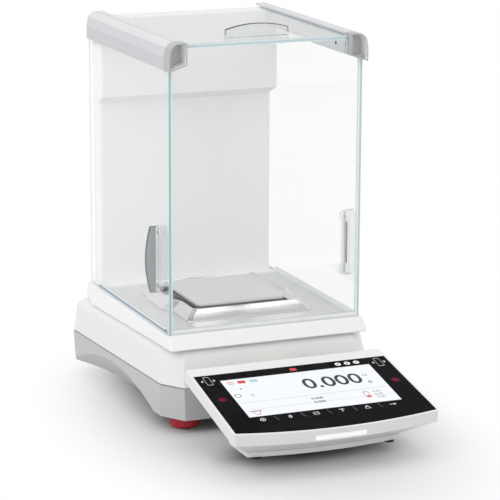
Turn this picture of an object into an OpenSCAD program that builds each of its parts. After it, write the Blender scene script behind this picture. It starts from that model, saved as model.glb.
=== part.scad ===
// Milligram balance: a housed weigh cell, a glass draft shield and a tilted touch terminal.
// Millimetres, +Z up, front towards -Y. Sizes along the depth are measured from the weighing axis.

/* [Base housing] */
// Width of the base at its widest, at the rear of the seam
base_w = 230; // [226:1:244]
// Width of the base just behind the cut front corners
base_front_w = 205; // [202:1:212]
// Weighing axis to the front face of the base
base_front = 122.5; // [119:0.5:126]
// Weighing axis to the rear face of the base
base_rear = 123; // [120:0.5:135]
// Cut of the front corners across the width
corner_cut_x = 15; // [8:1:18]
// Cut of the front corners along the depth
corner_cut_y = 23; // [12:1:28]
// Cut of the rear corners
rear_cut = 18; // [8:1:22]
// Bench to the underside of the base
underside_z = 12; // [11.5:0.5:14]
// Bench to the seam between the two housings
seam_z = 42.5; // [40:0.5:45]
// Bench to the top of the side walls
shoulder_z = 70; // [66:0.5:71]
// Bench to the deck that carries the draft shield
deck_z = 75; // [74:0.5:80]
// Wall of both housings
wall = 3; // [2:0.5:3.5]
// Open joint line between the two housings
seam_gap = 0.8; // [0.4:0.1:1.2]
// How far the lower walls lean in at the bottom
bottom_draft = 1.5; // [0.5:0.5:3]
// How far the upper side walls lean in at the shoulder
side_draft = 3; // [1:0.5:4]
// How far the upper front face leans back at the shoulder
front_draft = 10; // [6:0.5:11]
// Width of the sloping shoulder round the deck
shoulder_w = 6; // [4:0.5:8]

/* [Lifting scoops] */
// Half length of each scoop along the underside
scoop_half = 98; // [85:1:102]
// Bench to the top of each scoop
scoop_top_z = 34.5; // [28:0.5:37]
// How far each scoop reaches in at the underside
scoop_depth = 18; // [12:1:20]
// Middle of the scoops along the depth
scoop_y = -3; // [-8:1:4]

/* [Levelling feet] */
// Front feet to either side of the middle
foot_front_x = 78; // [72:1:82]
// Front feet ahead of the weighing axis
foot_front_y = 97; // [92:1:100]
// Rear feet to either side of the middle
foot_rear_x = 66; // [62:1:70]
// Rear feet behind the weighing axis
foot_rear_y = 96; // [90:1:100]
// Diameter of a foot wheel
wheel_d = 27; // [22:0.5:30]
// Gap between a foot wheel and the underside
wheel_gap = 0.4; // [0.3:0.1:1]
// Diameter of a rubber foot pad
pad_d = 19; // [14:0.5:21]
// Thickness of a rubber foot pad
pad_t = 1.2; // [0.8:0.1:2]
// Diameter of a foot's threaded stem
stem_d = 8; // [6:0.5:8]
// Radial running clearance of shafts and stems
run_gap = 0.05; // [0.03:0.01:0.1]

/* [Draft shield] */
// Outer width of the shield frame at the front
frame_front_w = 193.4; // [192:0.2:198]
// Outer width of the shield frame at its widest
frame_w = 216; // [206:1:220]
// Weighing axis to the lower front edge of the frame
frame_front = 113.5; // [111:0.5:116]
// Weighing axis to the rear edge of the frame
frame_rear = 117; // [116:0.5:119]
// Height of the shield frame
frame_h = 11.5; // [10:0.5:14]
// Width of the front glass
glass_w = 180; // [174:1:182]
// Weighing axis to the outer face of the front glass
glass_front = 100; // [97:0.5:101]
// Thickness of the front glass
glass_t = 4; // [3:0.2:5]
// Thickness of the sliding glasses
door_t = 3.2; // [2.8:0.2:3.6]
// Bench to the underside of the rails
rail_z = 325; // [300:1:345]
// Width of a rail
rail_w = 17; // [15:0.5:19]
// Height of a rail
rail_h = 25.5; // [23:0.5:30]
// Weighing axis to the rear end of the rails
rail_rear = 114; // [112:0.5:116]
// Length of a rail's front cap
cap_len = 14; // [10:0.5:16]
// How far the caps stand out from the front glass
cap_out = 8; // [4:0.5:9]
// Running gap between sliding glass and its grooves
slide_gap = 0.3; // [0.2:0.05:0.4]
// Depth of the lower door grooves
groove_depth = 3; // [2:0.5:4]
// Rise of a rail's underside towards the chamber
rail_slope = 6; // [2:0.5:7]
// Depth of the door grooves in the rails, at their outer edge
rail_groove = 3.5; // [3:0.5:5]

/* [Rear column] */
// Gap between the lower column's sides and the edges of the front glass
column_clear = 2.5; // [2.5:0.5:5]
// Extra width of the upper block
block_extra_w = 4; // [1:0.5:5]
// Weighing axis to the face of the lower column
column_front = 97; // [94:0.5:99]
// How far the upper block stands proud
block_proud = 12; // [6:0.5:13]
// Bench to the ledge under the upper block
ledge_z = 265; // [240:1:280]
// Rise of the sloping ledge
ledge_rise = 7; // [4:0.5:10]
// Weighing axis to the rear of the column
column_rear = 113.5; // [112:0.5:116]
// Wall of the column
column_wall = 2.5; // [2:0.5:3]

/* [Weighing pan] */
// Side of the square pan
pan_side = 88; // [80:1:92]
// Bench to the top of the pan
pan_z = 99; // [98:0.5:102]
// Sheet thickness of the pan
pan_t = 1.2; // [0.8:0.1:1.5]
// Depth of the pan's turned-down edge
pan_skirt = 7; // [5:0.5:8]
// Corner radius of the pan
pan_r = 6; // [3:0.5:9]
// Width of the wind ring at its foot
ring_w = 123; // [118:1:126]
// Depth of the wind ring at its foot
ring_d = 130; // [126:1:134]
// Height of the wind ring
ring_h = 9.5; // [8:0.5:11]
// Sheet thickness of the wind ring, measured level
ring_t = 2; // [1.5:0.1:2.5]
// How far the ring's sides swell out for the fingers
ring_bulge = 4.5; // [2:0.5:6]
// Gap between the floor plate and the planes of the side doors
plate_margin = 1.5; // [1:0.25:3]
// Weighing axis to the front edge of the floor plate
plate_front = 90.5; // [88:0.5:93]
// Weighing axis to the rear edge of the floor plate
plate_rear = 84; // [80:0.5:90]
// Thickness of the floor plate
plate_t = 1.5; // [1:0.1:2]
// Hole in the floor plate and deck for the pan spindle
spindle_hole_d = 34; // [30:1:40]
// Diameter of the pan spindle
spindle_d = 10; // [8:0.5:12]

/* [Door handles] */
// Height of a handle
handle_len = 61; // [50:1:70]
// Reach of a handle's blade at its ends
handle_end = 7.5; // [6:0.5:9]
// Extra reach of the blade at its middle
handle_arch = 4.5; // [3:0.5:6]
// Thickness of a blade
blade_t = 3; // [2:0.2:4]
// Weighing axis to the handles on the side doors
handle_y = 72; // [68:1:80]
// Bench to the middle of the side handles
handle_z = 151; // [140:0.5:200]
// Weighing axis to the handle on the top door
top_handle_y = 76; // [70:1:80]

/* [Terminal] */
// Tilt of the terminal's face, in degrees
tilt = 11.6; // [10:0.1:13]
// Weighing axis to the rear edge of the touch glass
term_back = 156.5; // [155:0.5:162]
// Bench to the rear edge of the touch glass
term_z = 63.5; // [62:0.5:66]
// Width of the touch glass at its rear edge
touch_w = 184.5; // [178:0.5:188]
// Extra width of the touch glass at its front corners
touch_flare = 4; // [0:0.5:6]
// Depth of the touch glass at its corners, along the tilt
touch_d = 105; // [100:0.5:108]
// How far the front edge bows out at its middle
touch_bow = 9; // [4:0.5:11]
// Thickness of the touch glass
touch_t = 2.2; // [1.6:0.1:2.6]
// White strip behind the touch glass
strip_d = 15.5; // [12:0.5:16]
// Rim of the shell round the touch glass
rim_w = 2; // [1.5:0.1:2.4]
// Height of the terminal's upper shell
shell_h = 11.5; // [11.4:0.1:12.5]
// Wall of the terminal's shells
shell_wall = 2.4; // [2:0.1:2.8]
// Bench to the underside of the terminal
term_under_z = 10; // [9.5:0.25:11]
// Touch glass beside the display panel on each side
display_margin = 16.25; // [13.5:0.25:18]
// Depth of the display panel along the tilt
display_d = 78; // [74:1:82]
// Width of the light bar
light_w = 48; // [40:1:56]
// Height of the light bar
light_h = 4.6; // [3:0.2:5]

/* [Hidden] */
$fn = 64;

// Colours of the pieces
white_plastic = "#f2f2f0";
grey_plastic = "#c9cacb";
dark_plastic = "#2a2b2d";
red_plastic = "#b3202c";
steel = "#c4c6c8";
aluminium = "#b4b7ba";
brass = "#b08d4a";
copper = "#b06a3a";
clear_glass = "#cfe6ea";
grey_clear = "#a9acae";
black_glass = "#0c0d0f";
board_green = "#2f6b46";

// Small overlaps that join or open solids
bite = 0.5;
deep = 60;

// Whole object along the depth
term_front = term_back + (touch_d + touch_bow + rim_w) * cos(tilt);
origin_shift = (term_front - base_rear) / 2;

// Base
floor_z = underside_z + wall;
deck_under_z = deck_z - wall;
side_x_front = base_front_w / 2;
side_x_rear = base_w / 2;
side_y_front = -base_front + corner_cut_y;
side_y_rear = base_rear - rear_cut;
lip_h = 2;
lip_inset = wall / 2;
fit_gap = 0.2;

// Lifting scoops: a large leaning cylinder on either side
scoop_x = side_x_front + (side_x_rear - side_x_front)
    * (scoop_y - side_y_front) / (side_y_rear - side_y_front);
scoop_height = scoop_top_z - underside_z;
scoop_slant = sqrt(scoop_height * scoop_height + scoop_depth * scoop_depth);
scoop_rise = scoop_height * scoop_depth / scoop_slant;
scoop_r = (scoop_half * scoop_half + scoop_rise * scoop_rise) / (2 * scoop_rise);
scoop_lean = atan2(scoop_depth, scoop_height);

// Feet
foot_places = [[-foot_front_x, -foot_front_y], [foot_front_x, -foot_front_y],
    [-foot_rear_x, foot_rear_y], [foot_rear_x, foot_rear_y]];
wheel_top_z = underside_z - wheel_gap;
insert_d = stem_d + 4;
insert_flange_d = insert_d + 4;
insert_flange_t = 2;
boss_d = insert_d + 8;
boss_room = 0.5;
boss_h = 18;
boss_top_z = floor_z + boss_h;
insert_low_z = boss_top_z - 14;
stem_top_z = boss_top_z - 1;
pad_pin_d = 4;
pad_pin_h = 5;
wheel_flutes = 24;
flute_d = 1.6;

// Screws that hold the two housings together
screw_front = [60, -foot_front_y - 1];
screw_off_x = 24;
screw_off_y = 8;
screw_rear = [foot_rear_x + screw_off_x, foot_rear_y + screw_off_y];
screw_places = [[-screw_front[0], screw_front[1]], screw_front,
    [-screw_rear[0], screw_rear[1]], screw_rear];
screw_d = 3;
screw_head_d = 6;
screw_head_h = 2.5;
screw_sink = 3;
screw_boss_d = 9;
screw_top_z = seam_z + 12;
boss_meet_z = seam_z - 1.5;

// Chassis and weigh cell
chassis_z = floor_z + 4;
chassis_t = 5;
chassis_top_z = chassis_z + chassis_t;
chassis_x = 70;
chassis_front = 85;
chassis_rear = 95;
chassis_post_d = 10;
chassis_posts = [[-58, -72], [58, -72], [-50, 84], [50, 84]];
hook_d = 24;
cell_front = 8;
cell_rear = 62;
cell_x = 22;
cell_h = 38;
cell_top_z = chassis_top_z + cell_h;
slot_h = 3;
flexure_skin = 6;
flexure_d = 5;
flexure_in = 3;
slot_front = cell_front + 5;
slot_rear = cell_rear - 12;
lever_post_y = cell_front + 12;
lever_post_t = 4;
lever_post_h = 1;
lever_z = cell_top_z + lever_post_h;
lever_h = 5;
lever_x = 6;
lever_in = 6;
pot_y = 82;
pot_d = 32;
pot_h = 26;
pot_top_z = chassis_top_z + pot_h;
pot_gap_in = 17;
pot_gap_out = 25;
pot_floor = 8;
coil_in = 18.6;
coil_out = 22.6;
coil_low_z = chassis_top_z + pot_floor + 3;

// Main board on the chassis
board_z = chassis_top_z + 5;
board_t = 1.6;
chip_margin = 20;
chip_pitch = 22;
chip_in = 11;
chip_len = 10;
chip_h = 2.4;
board_x0 = -chassis_x + 2;
board_x1 = -cell_x - 6;
board_y0 = -chassis_front + 20;
board_y1 = chassis_rear - 22;
board_post_d = 5;
board_inset = 4;
board_posts = [for (x = [board_x0 + board_inset, board_x1 - board_inset],
    y = [board_y0 + board_inset, board_y1 - board_inset]) [x, y]];

// Cover over the opening for weighing below the bench
cover_t = 1.5;
cover_gap = 0.2;
cover_rim = 3;
cover_arm_d = 9;
cover_pivot_x = hook_d / 2 + 6;

// Draft shield
frame_z = deck_z;
plate_w = glass_w - 2 * plate_margin;
frame_wide_y = 72;
frame_rear_x = 98;
frame_corner = 3;
frame_top_front = glass_front + 3;
frame_top_z = frame_z + frame_h;
plate_z = frame_top_z + 0.5 - plate_t;
plate_top_z = plate_z + plate_t;
plate_ledge = 8;
slot_depth = 4;
glass_foot_z = frame_top_z - slot_depth;
side_in = glass_w / 2 + slide_gap;
side_out = side_in + door_t;
door_low_z = frame_top_z - groove_depth + slide_gap;
door_high_z = rail_z + rail_groove - slide_gap;
door_rear = column_rear - 0.5;
rail_wall = 2;
rail_out = side_out + rail_wall;
rail_in = rail_out - rail_w;
rail_top_z = rail_z + rail_h;
rail_band = 12;
rail_lean = 1.5;
rail_bevel_x = 7.5;
rail_bevel_z = 5;
top_door_z = rail_top_z - rail_wall - door_t - slide_gap;
top_door_top_z = top_door_z + door_t;
top_groove = 5;
top_door_x = rail_in + top_groove - slide_gap;
top_door_rear = column_front + 3;
glass_top_z = top_door_z - slide_gap;
cap_front = glass_front + cap_out;
rail_front = cap_front - cap_len;
frame_in_y = plate_front - plate_ledge;

// Door handles
stud_d = 4;
stud_spread = handle_len - 12;
bar_w = 8;
bar_t = 2.4;
clamp_t = 2;
clamp_boss_d = 9;
clamp_boss_h = 4;

// Rear column
cover_plate_t = 2;
column_w = glass_w - 2 * column_clear;
block_x = column_w / 2 + block_extra_w / 2;
block_front = column_front - block_proud;

// Weighing pan and its carrier
ring_z = plate_top_z;
ring_top_z = ring_z + ring_h;
ring_lean = 7.5;
ring_corner = 6;
ring_lip = 3.5;
ring_lip_t = 0.8;
bulge_front = 42;
bulge_rear = 26;
bulge_ease = 9;
support_margin = 14;
support_side = pan_side - 2 * support_margin;
support_t = 2.5;
post_d = 8;
post_h = 2.3;
pan_under_z = pan_z - pan_t;
support_z = pan_under_z - post_h - support_t;
spindle_top_z = support_z - 4;
hub_d = 22;
hub_low_z = spindle_top_z - 10;
carrier_x = 14;
carrier_t = 6;
shelf_rise = 42;
shelf_z = chassis_top_z + shelf_rise;
shelf_t = 3;

// Built-in calibration weight
cal_x = 40;
cal_y = -40;
cal_motor_d = 22;
cal_motor_h = 14;
cal_screw_d = 6;
cal_hub_d = 14;
cal_travel = 3;
cal_plate_t = 3;
cal_plate_rise = 25;
cal_plate_z = chassis_top_z + cal_plate_rise;
cal_plate_in = 12;
cal_plate_half = 10;
cal_screw_over = 8;
cal_weight_d = 20;
cal_weight_h = 14;
cal_arm_x = 3;
cal_arm_t = 5;
cal_arm_over = 8;
cal_slot_x = 4.5;
cal_slot_in = 9;
cal_arm_top_z = cal_plate_z - cal_travel - 0.4;

// Rear connectors
panel_x = 0;
panel_cut = 10;
panel_w = 92;
panel_h = 20;
panel_t = 2.4;
panel_z = floor_z + 4;
panel_y = base_rear - bottom_draft - wall;
panel_mid_z = panel_z + panel_h / 2;
port_flange_t = 2;
port_depth = 14;
serial_off = 26;
usb_a_off = 2;
usb_pitch = 18;
power_off = 37;
serial_x = panel_x - serial_off;
usb_a_x = panel_x + usb_a_off;
usb_b_x = usb_a_x + usb_pitch;
power_x = panel_x + power_off;

// Terminal
bow_steps = 24;
shell_back = strip_d;
bed_w = 5;
light_flange = 1;
light_flange_t = 1;
bar_mid_w = -(touch_t + shell_wall + light_flange + light_h / 2 + 0.1);
display_w = touch_w - 2 * display_margin;
ir_in = 9.5;
ir_x = touch_w / 2 - ir_in;
ir_down = 45.5;
ir_d = 9;
ir_t = 3;
foot_disc_d = 9;
foot_disc_t = 1.5;
foot_disc_in = 9;
under_setback = 31;
under_front = term_front - under_setback;
under_rear = 33.5;
under_back = term_back + under_rear;
under_x = 72;
lip_setback = 30.5;
lip_front = term_front - lip_setback;
lip_bow = 8;
under_bow = 8;
shell_step = 1.2;
lip_x = 72.5;
lip_rise = 4.5;
lip_z = term_under_z + lip_rise;
bracket_x = 30;
bracket_t = 2;
bracket_step = 6;
bracket_head_h = 2;
bracket_reach = 76;
bracket_front = term_back + bracket_reach;
bracket_grip = 34;
bracket_rear = base_front - bracket_grip;
bracket_low_z = term_under_z - bracket_t;
bracket_screw_x = 20;
bracket_screw_in = 12;
bracket_screw_base_y = -(bracket_rear + bracket_screw_in);
bracket_screw_term_y = -(bracket_front - bracket_screw_in);

// Level vial on a ledge in front of the base
level_d = 14;
level_h = 8;
level_rim = 1.6;
level_term_gap = 4;
level_ledge = term_back - strip_d * cos(tilt) - level_term_gap;
level_y = -(level_ledge - level_d / 2 - level_rim);
level_x = 12;
level_z = seam_z + 4.5;
level_low_z = seam_z + lip_h + fit_gap;
level_root = front_draft / 2;
level_top_z = level_z + 7;

// Shared shapes

// Solid between stacked outlines that have the same number of points
module loft(layers) {
    n = len(layers[0]);
    k = len(layers);
    points = [for (layer = layers, p = layer) p];
    sides = [for (l = [0:k - 2], i = [0:n - 1])
        let (j = (i + 1) % n, a = l * n, b = (l + 1) * n)
        each [[a + i, b + i, a + j], [a + j, b + i, b + j]]];
    caps = [[for (i = [0:n - 1]) i], [for (i = [n - 1:-1:0]) (k - 1) * n + i]];
    polyhedron(points, concat(caps, sides), convexity = 6);
}

// Closed sheet between outlines: up the outside, over the top and down the inside
module loft_ring(layers) {
    n = len(layers[0]);
    k = len(layers);
    points = [for (layer = layers, p = layer) p];
    polyhedron(points, [for (l = [0:k - 1], i = [0:n - 1])
        let (j = (i + 1) % n, a = l * n, b = ((l + 1) % k) * n)
        each [[a + i, b + i, a + j], [a + j, b + i, b + j]]], convexity = 6);
}

// An outline lifted to one height
function lift(outline, z) = [for (p = outline) [p[0], p[1], z]];

// Right half of an outline, front to rear, completed by its mirror image
function both_sides(right) = concat(right,
    [for (i = [len(right) - 1:-1:0]) [-right[i][0], right[i][1]]]);

// Outline of the base, drawn in by a given amount at each side
function base_outline(side, front, rear) = both_sides([
    [side_x_front - corner_cut_x - side, -base_front + front],
    [side_x_front - side, side_y_front + front],
    [side_x_rear - side, side_y_rear - rear],
    [side_x_rear - rear_cut - side, base_rear - rear]]);

module box(x0, x1, y0, y1, z0, z1) {
    translate([x0, y0, z0]) cube([x1 - x0, y1 - y0, z1 - z0]);
}

module post(x, y, z0, z1, d) {
    translate([x, y, z0]) cylinder(h = z1 - z0, d = d);
}

// Rounded rectangle about the weighing axis
module rounded_plate(side_x, side_y, r) {
    translate([-side_x / 2 + r, -side_y / 2]) square([side_x - 2 * r, side_y]);
    translate([-side_x / 2, -side_y / 2 + r]) square([side_x, side_y - 2 * r]);
    for (sx = [-1, 1], sy = [-1, 1])
        translate([sx * (side_x / 2 - r), sy * (side_y / 2 - r)]) circle(r);
}

// Brings the weighing axis to its place behind the middle of the whole object
module placed() {
    translate([0, origin_shift, 0]) children();
}

// Base housing

module scoops(grow) {
    for (s = [-1, 1])
        translate([s * scoop_x, scoop_y, scoop_top_z])
            rotate([0, s * scoop_lean, 0])
                translate([s * scoop_r, 0, 0])
                    cylinder(h = 6 * scoop_slant, r = scoop_r + grow, center = true, $fn = 200);
}

module casing_body() {
    d = bottom_draft;
    difference() {
        loft([lift(base_outline(d, d, d), underside_z),
            lift(base_outline(0, 0, 0), seam_z - seam_gap)]);
        difference() {
            loft([lift(base_outline(d + wall, d + wall, d + wall), floor_z),
                lift(base_outline(wall, wall, wall), seam_z)]);
            scoops(wall);
        }
        scoops(0);
    }
    difference() {
        loft([lift(base_outline(lip_inset, lip_inset, lip_inset), seam_z - seam_gap - bite),
            lift(base_outline(lip_inset, lip_inset, lip_inset), seam_z + lip_h)]);
        loft([lift(base_outline(wall, wall, wall), seam_z - seam_gap - 2 * bite),
            lift(base_outline(wall, wall, wall), seam_z + lip_h + bite)]);
    }
}

module bottom_casing() {
    color(grey_plastic) difference() {
        union() {
            casing_body();
            for (p = foot_places) post(p[0], p[1], underside_z + bite, boss_top_z, boss_d);
            for (p = screw_places) post(p[0], p[1], underside_z + bite, boss_meet_z, screw_boss_d);
            for (p = chassis_posts) post(p[0], p[1], underside_z + bite, chassis_z, chassis_post_d);
        }
        for (p = foot_places) post(p[0], p[1], 0, seam_z, insert_d + 2 * fit_gap);
        for (p = screw_places) {
            post(p[0], p[1], 0, seam_z, screw_d + 2 * fit_gap);
            post(p[0], p[1], 0, underside_z + screw_sink, screw_head_d + 2 * fit_gap);
        }
        post(0, 0, 0, seam_z, hook_d);
        post(cover_pivot_x, 0, 0, seam_z, screw_d + 2 * run_gap);
        for (s = [-1, 1])
            post(s * bracket_screw_x, bracket_screw_base_y, 0, seam_z, screw_d + 2 * run_gap);
        box(panel_x - panel_w / 2 - fit_gap, panel_x + panel_w / 2 + fit_gap, panel_y - panel_cut,
            base_rear + deep, panel_z - fit_gap, panel_z + panel_h + fit_gap);
    }
}

module housing_skin() {
    s = side_draft;
    f = front_draft;
    w = shoulder_w;
    difference() {
        loft([lift(base_outline(0, 0, 0), seam_z),
            lift(base_outline(s, f, s), shoulder_z),
            lift(base_outline(s + w, f + w, s + w), deck_z)]);
        loft([lift(base_outline(wall, wall, wall), seam_z + lip_h),
            lift(base_outline(s + wall, f + wall, s + wall), shoulder_z - wall),
            lift(base_outline(s + w + wall, f + w + wall, s + w + wall), deck_under_z)]);
        loft([lift(base_outline(lip_inset - fit_gap, lip_inset - fit_gap, lip_inset - fit_gap),
                seam_z - bite),
            lift(base_outline(lip_inset - fit_gap, lip_inset - fit_gap, lip_inset - fit_gap),
                seam_z + lip_h)]);
    }
}

module top_housing() {
    color(white_plastic) difference() {
        union() {
            housing_skin();
            for (p = screw_places) post(p[0], p[1], boss_meet_z, deck_under_z + bite, screw_boss_d);
            box(-level_x, level_x, -level_ledge, -base_front + level_root, level_low_z, level_top_z);
        }
        for (p = screw_places) post(p[0], p[1], 0, screw_top_z + 1, screw_d + 2 * run_gap);
        post(0, 0, 0, deck_z + deep, spindle_hole_d);
        post(0, level_y, level_z, level_top_z + 1, level_d + 2 * fit_gap);
    }
}

module base_chassis() {
    color(aluminium) difference() {
        union() {
            box(-chassis_x, chassis_x, -chassis_front, chassis_rear, chassis_z, chassis_top_z);
            for (p = board_posts) post(p[0], p[1], chassis_top_z - bite, board_z, board_post_d);
        }
        post(0, 0, 0, deck_z, hook_d);
        for (p = foot_places) post(p[0], p[1], 0, deck_z, boss_d + 2 * boss_room);
    }
}

module casing_screws() {
    color(steel) for (p = screw_places) {
        head_z = underside_z + screw_sink - screw_head_h;
        post(p[0], p[1], head_z, underside_z + screw_sink, screw_head_d);
        post(p[0], p[1], head_z + bite, screw_top_z, screw_d);
    }
}

module foot_inserts() {
    color(brass) for (p = foot_places) difference() {
        union() {
            post(p[0], p[1], insert_low_z, boss_top_z + bite, insert_d);
            post(p[0], p[1], boss_top_z, boss_top_z + insert_flange_t, insert_flange_d);
        }
        post(p[0], p[1], 0, deck_z, stem_d + 2 * run_gap);
    }
}

module foot_wheel(place) {
    color(red_plastic) translate([place[0], place[1], 0]) difference() {
        union() {
            rotate_extrude() polygon([[0, pad_t], [wheel_d / 2 - 1.5, pad_t],
                [wheel_d / 2, pad_t + 1.5], [wheel_d / 2, wheel_top_z - 1],
                [wheel_d / 2 - 1, wheel_top_z], [0, wheel_top_z]]);
            post(0, 0, wheel_top_z - bite, stem_top_z, stem_d);
        }
        post(0, 0, 0, pad_t + pad_pin_h + 0.2, pad_pin_d + 2 * run_gap);
        for (i = [0:wheel_flutes - 1])
            rotate(i * 360 / wheel_flutes) post(wheel_d / 2 + 0.2, 0, 0, underside_z, flute_d);
    }
}

module foot_pad(place) {
    color(dark_plastic) {
        post(place[0], place[1], 0, pad_t, pad_d);
        post(place[0], place[1], pad_t - bite, pad_t + pad_pin_h, pad_pin_d);
    }
}

module hook_cover() {
    high_z = underside_z - cover_gap;
    color(grey_plastic) difference() {
        union() {
            post(0, 0, high_z - cover_t, high_z, hook_d + 2 * cover_rim);
            post(cover_pivot_x, 0, high_z - cover_t, high_z, cover_arm_d);
            box(0, cover_pivot_x, -cover_arm_d / 2, cover_arm_d / 2, high_z - cover_t, high_z);
        }
        post(cover_pivot_x, 0, 0, deck_z, screw_d + 2 * run_gap);
    }
}

module hook_cover_screw() {
    low_z = underside_z - cover_gap - cover_t;
    color(steel) {
        post(cover_pivot_x, 0, low_z - 1.5, low_z - cover_gap, screw_head_d);
        post(cover_pivot_x, 0, low_z - 1.5, floor_z, screw_d);
    }
}

module serial_outline(grow) {
    polygon([[-9 - grow, -4.5 - grow], [9 + grow, -4.5 - grow], [10.5 + grow, 4.5 + grow],
        [-10.5 - grow, 4.5 + grow]]);
}

module rear_port_panel() {
    color(dark_plastic) difference() {
        box(panel_x - panel_w / 2, panel_x + panel_w / 2, panel_y, panel_y + panel_t,
            panel_z, panel_z + panel_h);
        translate([serial_x, panel_y + panel_t + 1, panel_mid_z]) rotate([90, 0, 0])
            linear_extrude(panel_t + 2) serial_outline(fit_gap);
        box(usb_a_x - 6.6 - fit_gap, usb_a_x + 6.6 + fit_gap, panel_y - 1, panel_y + panel_t + 1,
            panel_mid_z - 2.9 - fit_gap, panel_mid_z + 2.9 + fit_gap);
        box(usb_b_x - 5.5 - fit_gap, usb_b_x + 5.5 + fit_gap, panel_y - 1, panel_y + panel_t + 1,
            panel_mid_z - 5.2 - fit_gap, panel_mid_z + 5.2 + fit_gap);
        translate([power_x, panel_y - 1, panel_mid_z]) rotate([-90, 0, 0])
            cylinder(h = panel_t + 2, d = 11 + 2 * fit_gap);
    }
}

// A connector's flange behind the panel
module port_flange(x, half_w, half_h) {
    box(x - half_w, x + half_w, panel_y - port_flange_t, panel_y, panel_mid_z - half_h,
        panel_mid_z + half_h);
}

module power_socket() {
    color(dark_plastic) difference() {
        union() {
            port_flange(power_x, 7.5, 7.5);
            translate([power_x, panel_y - port_depth, panel_mid_z]) rotate([-90, 0, 0])
                cylinder(h = port_depth + panel_t, d = 11);
        }
        translate([power_x, panel_y - port_depth + 4, panel_mid_z]) rotate([-90, 0, 0])
            difference() {
                cylinder(h = deep, d = 7);
                translate([0, 0, -1]) cylinder(h = port_depth + panel_t - 5, d = 2.2);
            }
    }
}

module usb_sockets() {
    color(steel) {
        difference() {
            union() {
                port_flange(usb_a_x, 8.5, 5);
                box(usb_a_x - 6.6, usb_a_x + 6.6, panel_y - port_depth, panel_y + panel_t,
                    panel_mid_z - 2.9, panel_mid_z + 2.9);
            }
            box(usb_a_x - 6, usb_a_x + 6, panel_y - port_depth + 4, panel_y + deep,
                panel_mid_z - 2.3, panel_mid_z + 0.3);
        }
        difference() {
            union() {
                port_flange(usb_b_x, 7.5, 7.5);
                box(usb_b_x - 5.5, usb_b_x + 5.5, panel_y - port_depth, panel_y + panel_t,
                    panel_mid_z - 5.2, panel_mid_z + 5.2);
            }
            box(usb_b_x - 4.2, usb_b_x + 4.2, panel_y - port_depth + 4, panel_y + deep,
                panel_mid_z - 3.9, panel_mid_z - 1.6);
            box(usb_b_x - 4.2, usb_b_x + 4.2, panel_y - port_depth + 4, panel_y + deep,
                panel_mid_z + 1.6, panel_mid_z + 3.9);
        }
    }
}

module serial_socket() {
    color(steel) {
        port_flange(serial_x, 15.5, 6.3);
        translate([serial_x, panel_y + panel_t, panel_mid_z]) rotate([90, 0, 0])
            linear_extrude(panel_t + 1) serial_outline(0);
        box(serial_x - 8, serial_x + 8, panel_y - port_depth, panel_y - port_flange_t + bite,
            panel_mid_z - 4, panel_mid_z + 4);
    }
}

module main_board() {
    color(board_green) {
        box(board_x0, board_x1, board_y0, board_y1, board_z, board_z + board_t);
        for (y = [board_y0 + chip_margin:chip_pitch:board_y1 - chip_margin])
            box(board_x0 + chip_in, board_x1 - chip_in, y, y + chip_len, board_z + board_t - bite,
                board_z + board_t + chip_h);
    }
}

module spirit_level() {
    color(clear_glass) post(0, level_y, level_z, level_z + level_h, level_d);
}

// Weigh cell

module weigh_cell_block() {
    slot_low_z = chassis_top_z + flexure_skin;
    slot_high_z = cell_top_z - flexure_skin;
    color(aluminium) difference() {
        union() {
            box(-cell_x, cell_x, cell_front, cell_rear, chassis_top_z, cell_top_z);
            box(-lever_x, lever_x, lever_post_y, lever_post_y + lever_post_t, cell_top_z - bite,
                lever_z);
        }
        for (z = [slot_low_z, slot_high_z - slot_h])
            box(-deep, deep, slot_front, slot_rear, z, z + slot_h);
        box(-deep, deep, slot_front, slot_front + slot_h, slot_low_z, slot_high_z);
        for (y = [slot_front + flexure_in, slot_rear - flexure_in], z = [slot_low_z, slot_high_z])
            translate([0, y, z]) rotate([0, 90, 0])
                cylinder(h = 2 * deep, d = flexure_d, center = true);
    }
}

module magnet_pot() {
    color(steel) difference() {
        post(0, pot_y, chassis_top_z, pot_top_z, pot_d);
        difference() {
            post(0, pot_y, chassis_top_z + pot_floor, deck_z, pot_gap_out);
            post(0, pot_y, chassis_top_z, deck_z, pot_gap_in);
        }
    }
}

module force_coil() {
    color(copper) difference() {
        post(0, pot_y, coil_low_z, lever_z, coil_out);
        post(0, pot_y, coil_low_z - 1, lever_z - 2, coil_in);
    }
}

module beam_lever() {
    color(aluminium) {
        box(-lever_x, lever_x, cell_front + lever_in, pot_y, lever_z, lever_z + lever_h);
        post(0, pot_y, lever_z, lever_z + lever_h, coil_out + 1);
    }
}

module load_carrier() {
    color(aluminium) {
        box(-carrier_x, carrier_x, cell_front - carrier_t, cell_front, cal_arm_top_z - cal_arm_t,
            shelf_z + bite);
        box(-carrier_x, carrier_x, -cell_front, cell_front, shelf_z, shelf_z + shelf_t);
        box(-cal_arm_x, cal_arm_x, cal_y - cal_arm_over, cell_front - carrier_t + bite,
            cal_arm_top_z - cal_arm_t, cal_arm_top_z);
        post(0, 0, shelf_z + shelf_t - bite, spindle_top_z, spindle_d);
    }
}

module pan_support() {
    color(aluminium) difference() {
        union() {
            post(0, 0, hub_low_z, support_z + bite, hub_d);
            translate([0, 0, support_z]) linear_extrude(support_t)
                rounded_plate(support_side, support_side, 5);
            for (x = [-1, 1], y = [-1, 1])
                post(x * (support_side / 2 - 6), y * (support_side / 2 - 6),
                    support_z + bite, pan_under_z, post_d);
        }
        post(0, 0, 0, spindle_top_z, spindle_d + 2 * run_gap);
    }
}

module cal_motor() {
    color(dark_plastic) post(cal_x, cal_y, chassis_top_z, chassis_top_z + cal_motor_h, cal_motor_d);
}

module cal_screw() {
    color(steel) post(cal_x, cal_y, chassis_top_z + cal_motor_h + fit_gap,
        cal_plate_z + cal_plate_t + cal_screw_over, cal_screw_d);
}

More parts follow.
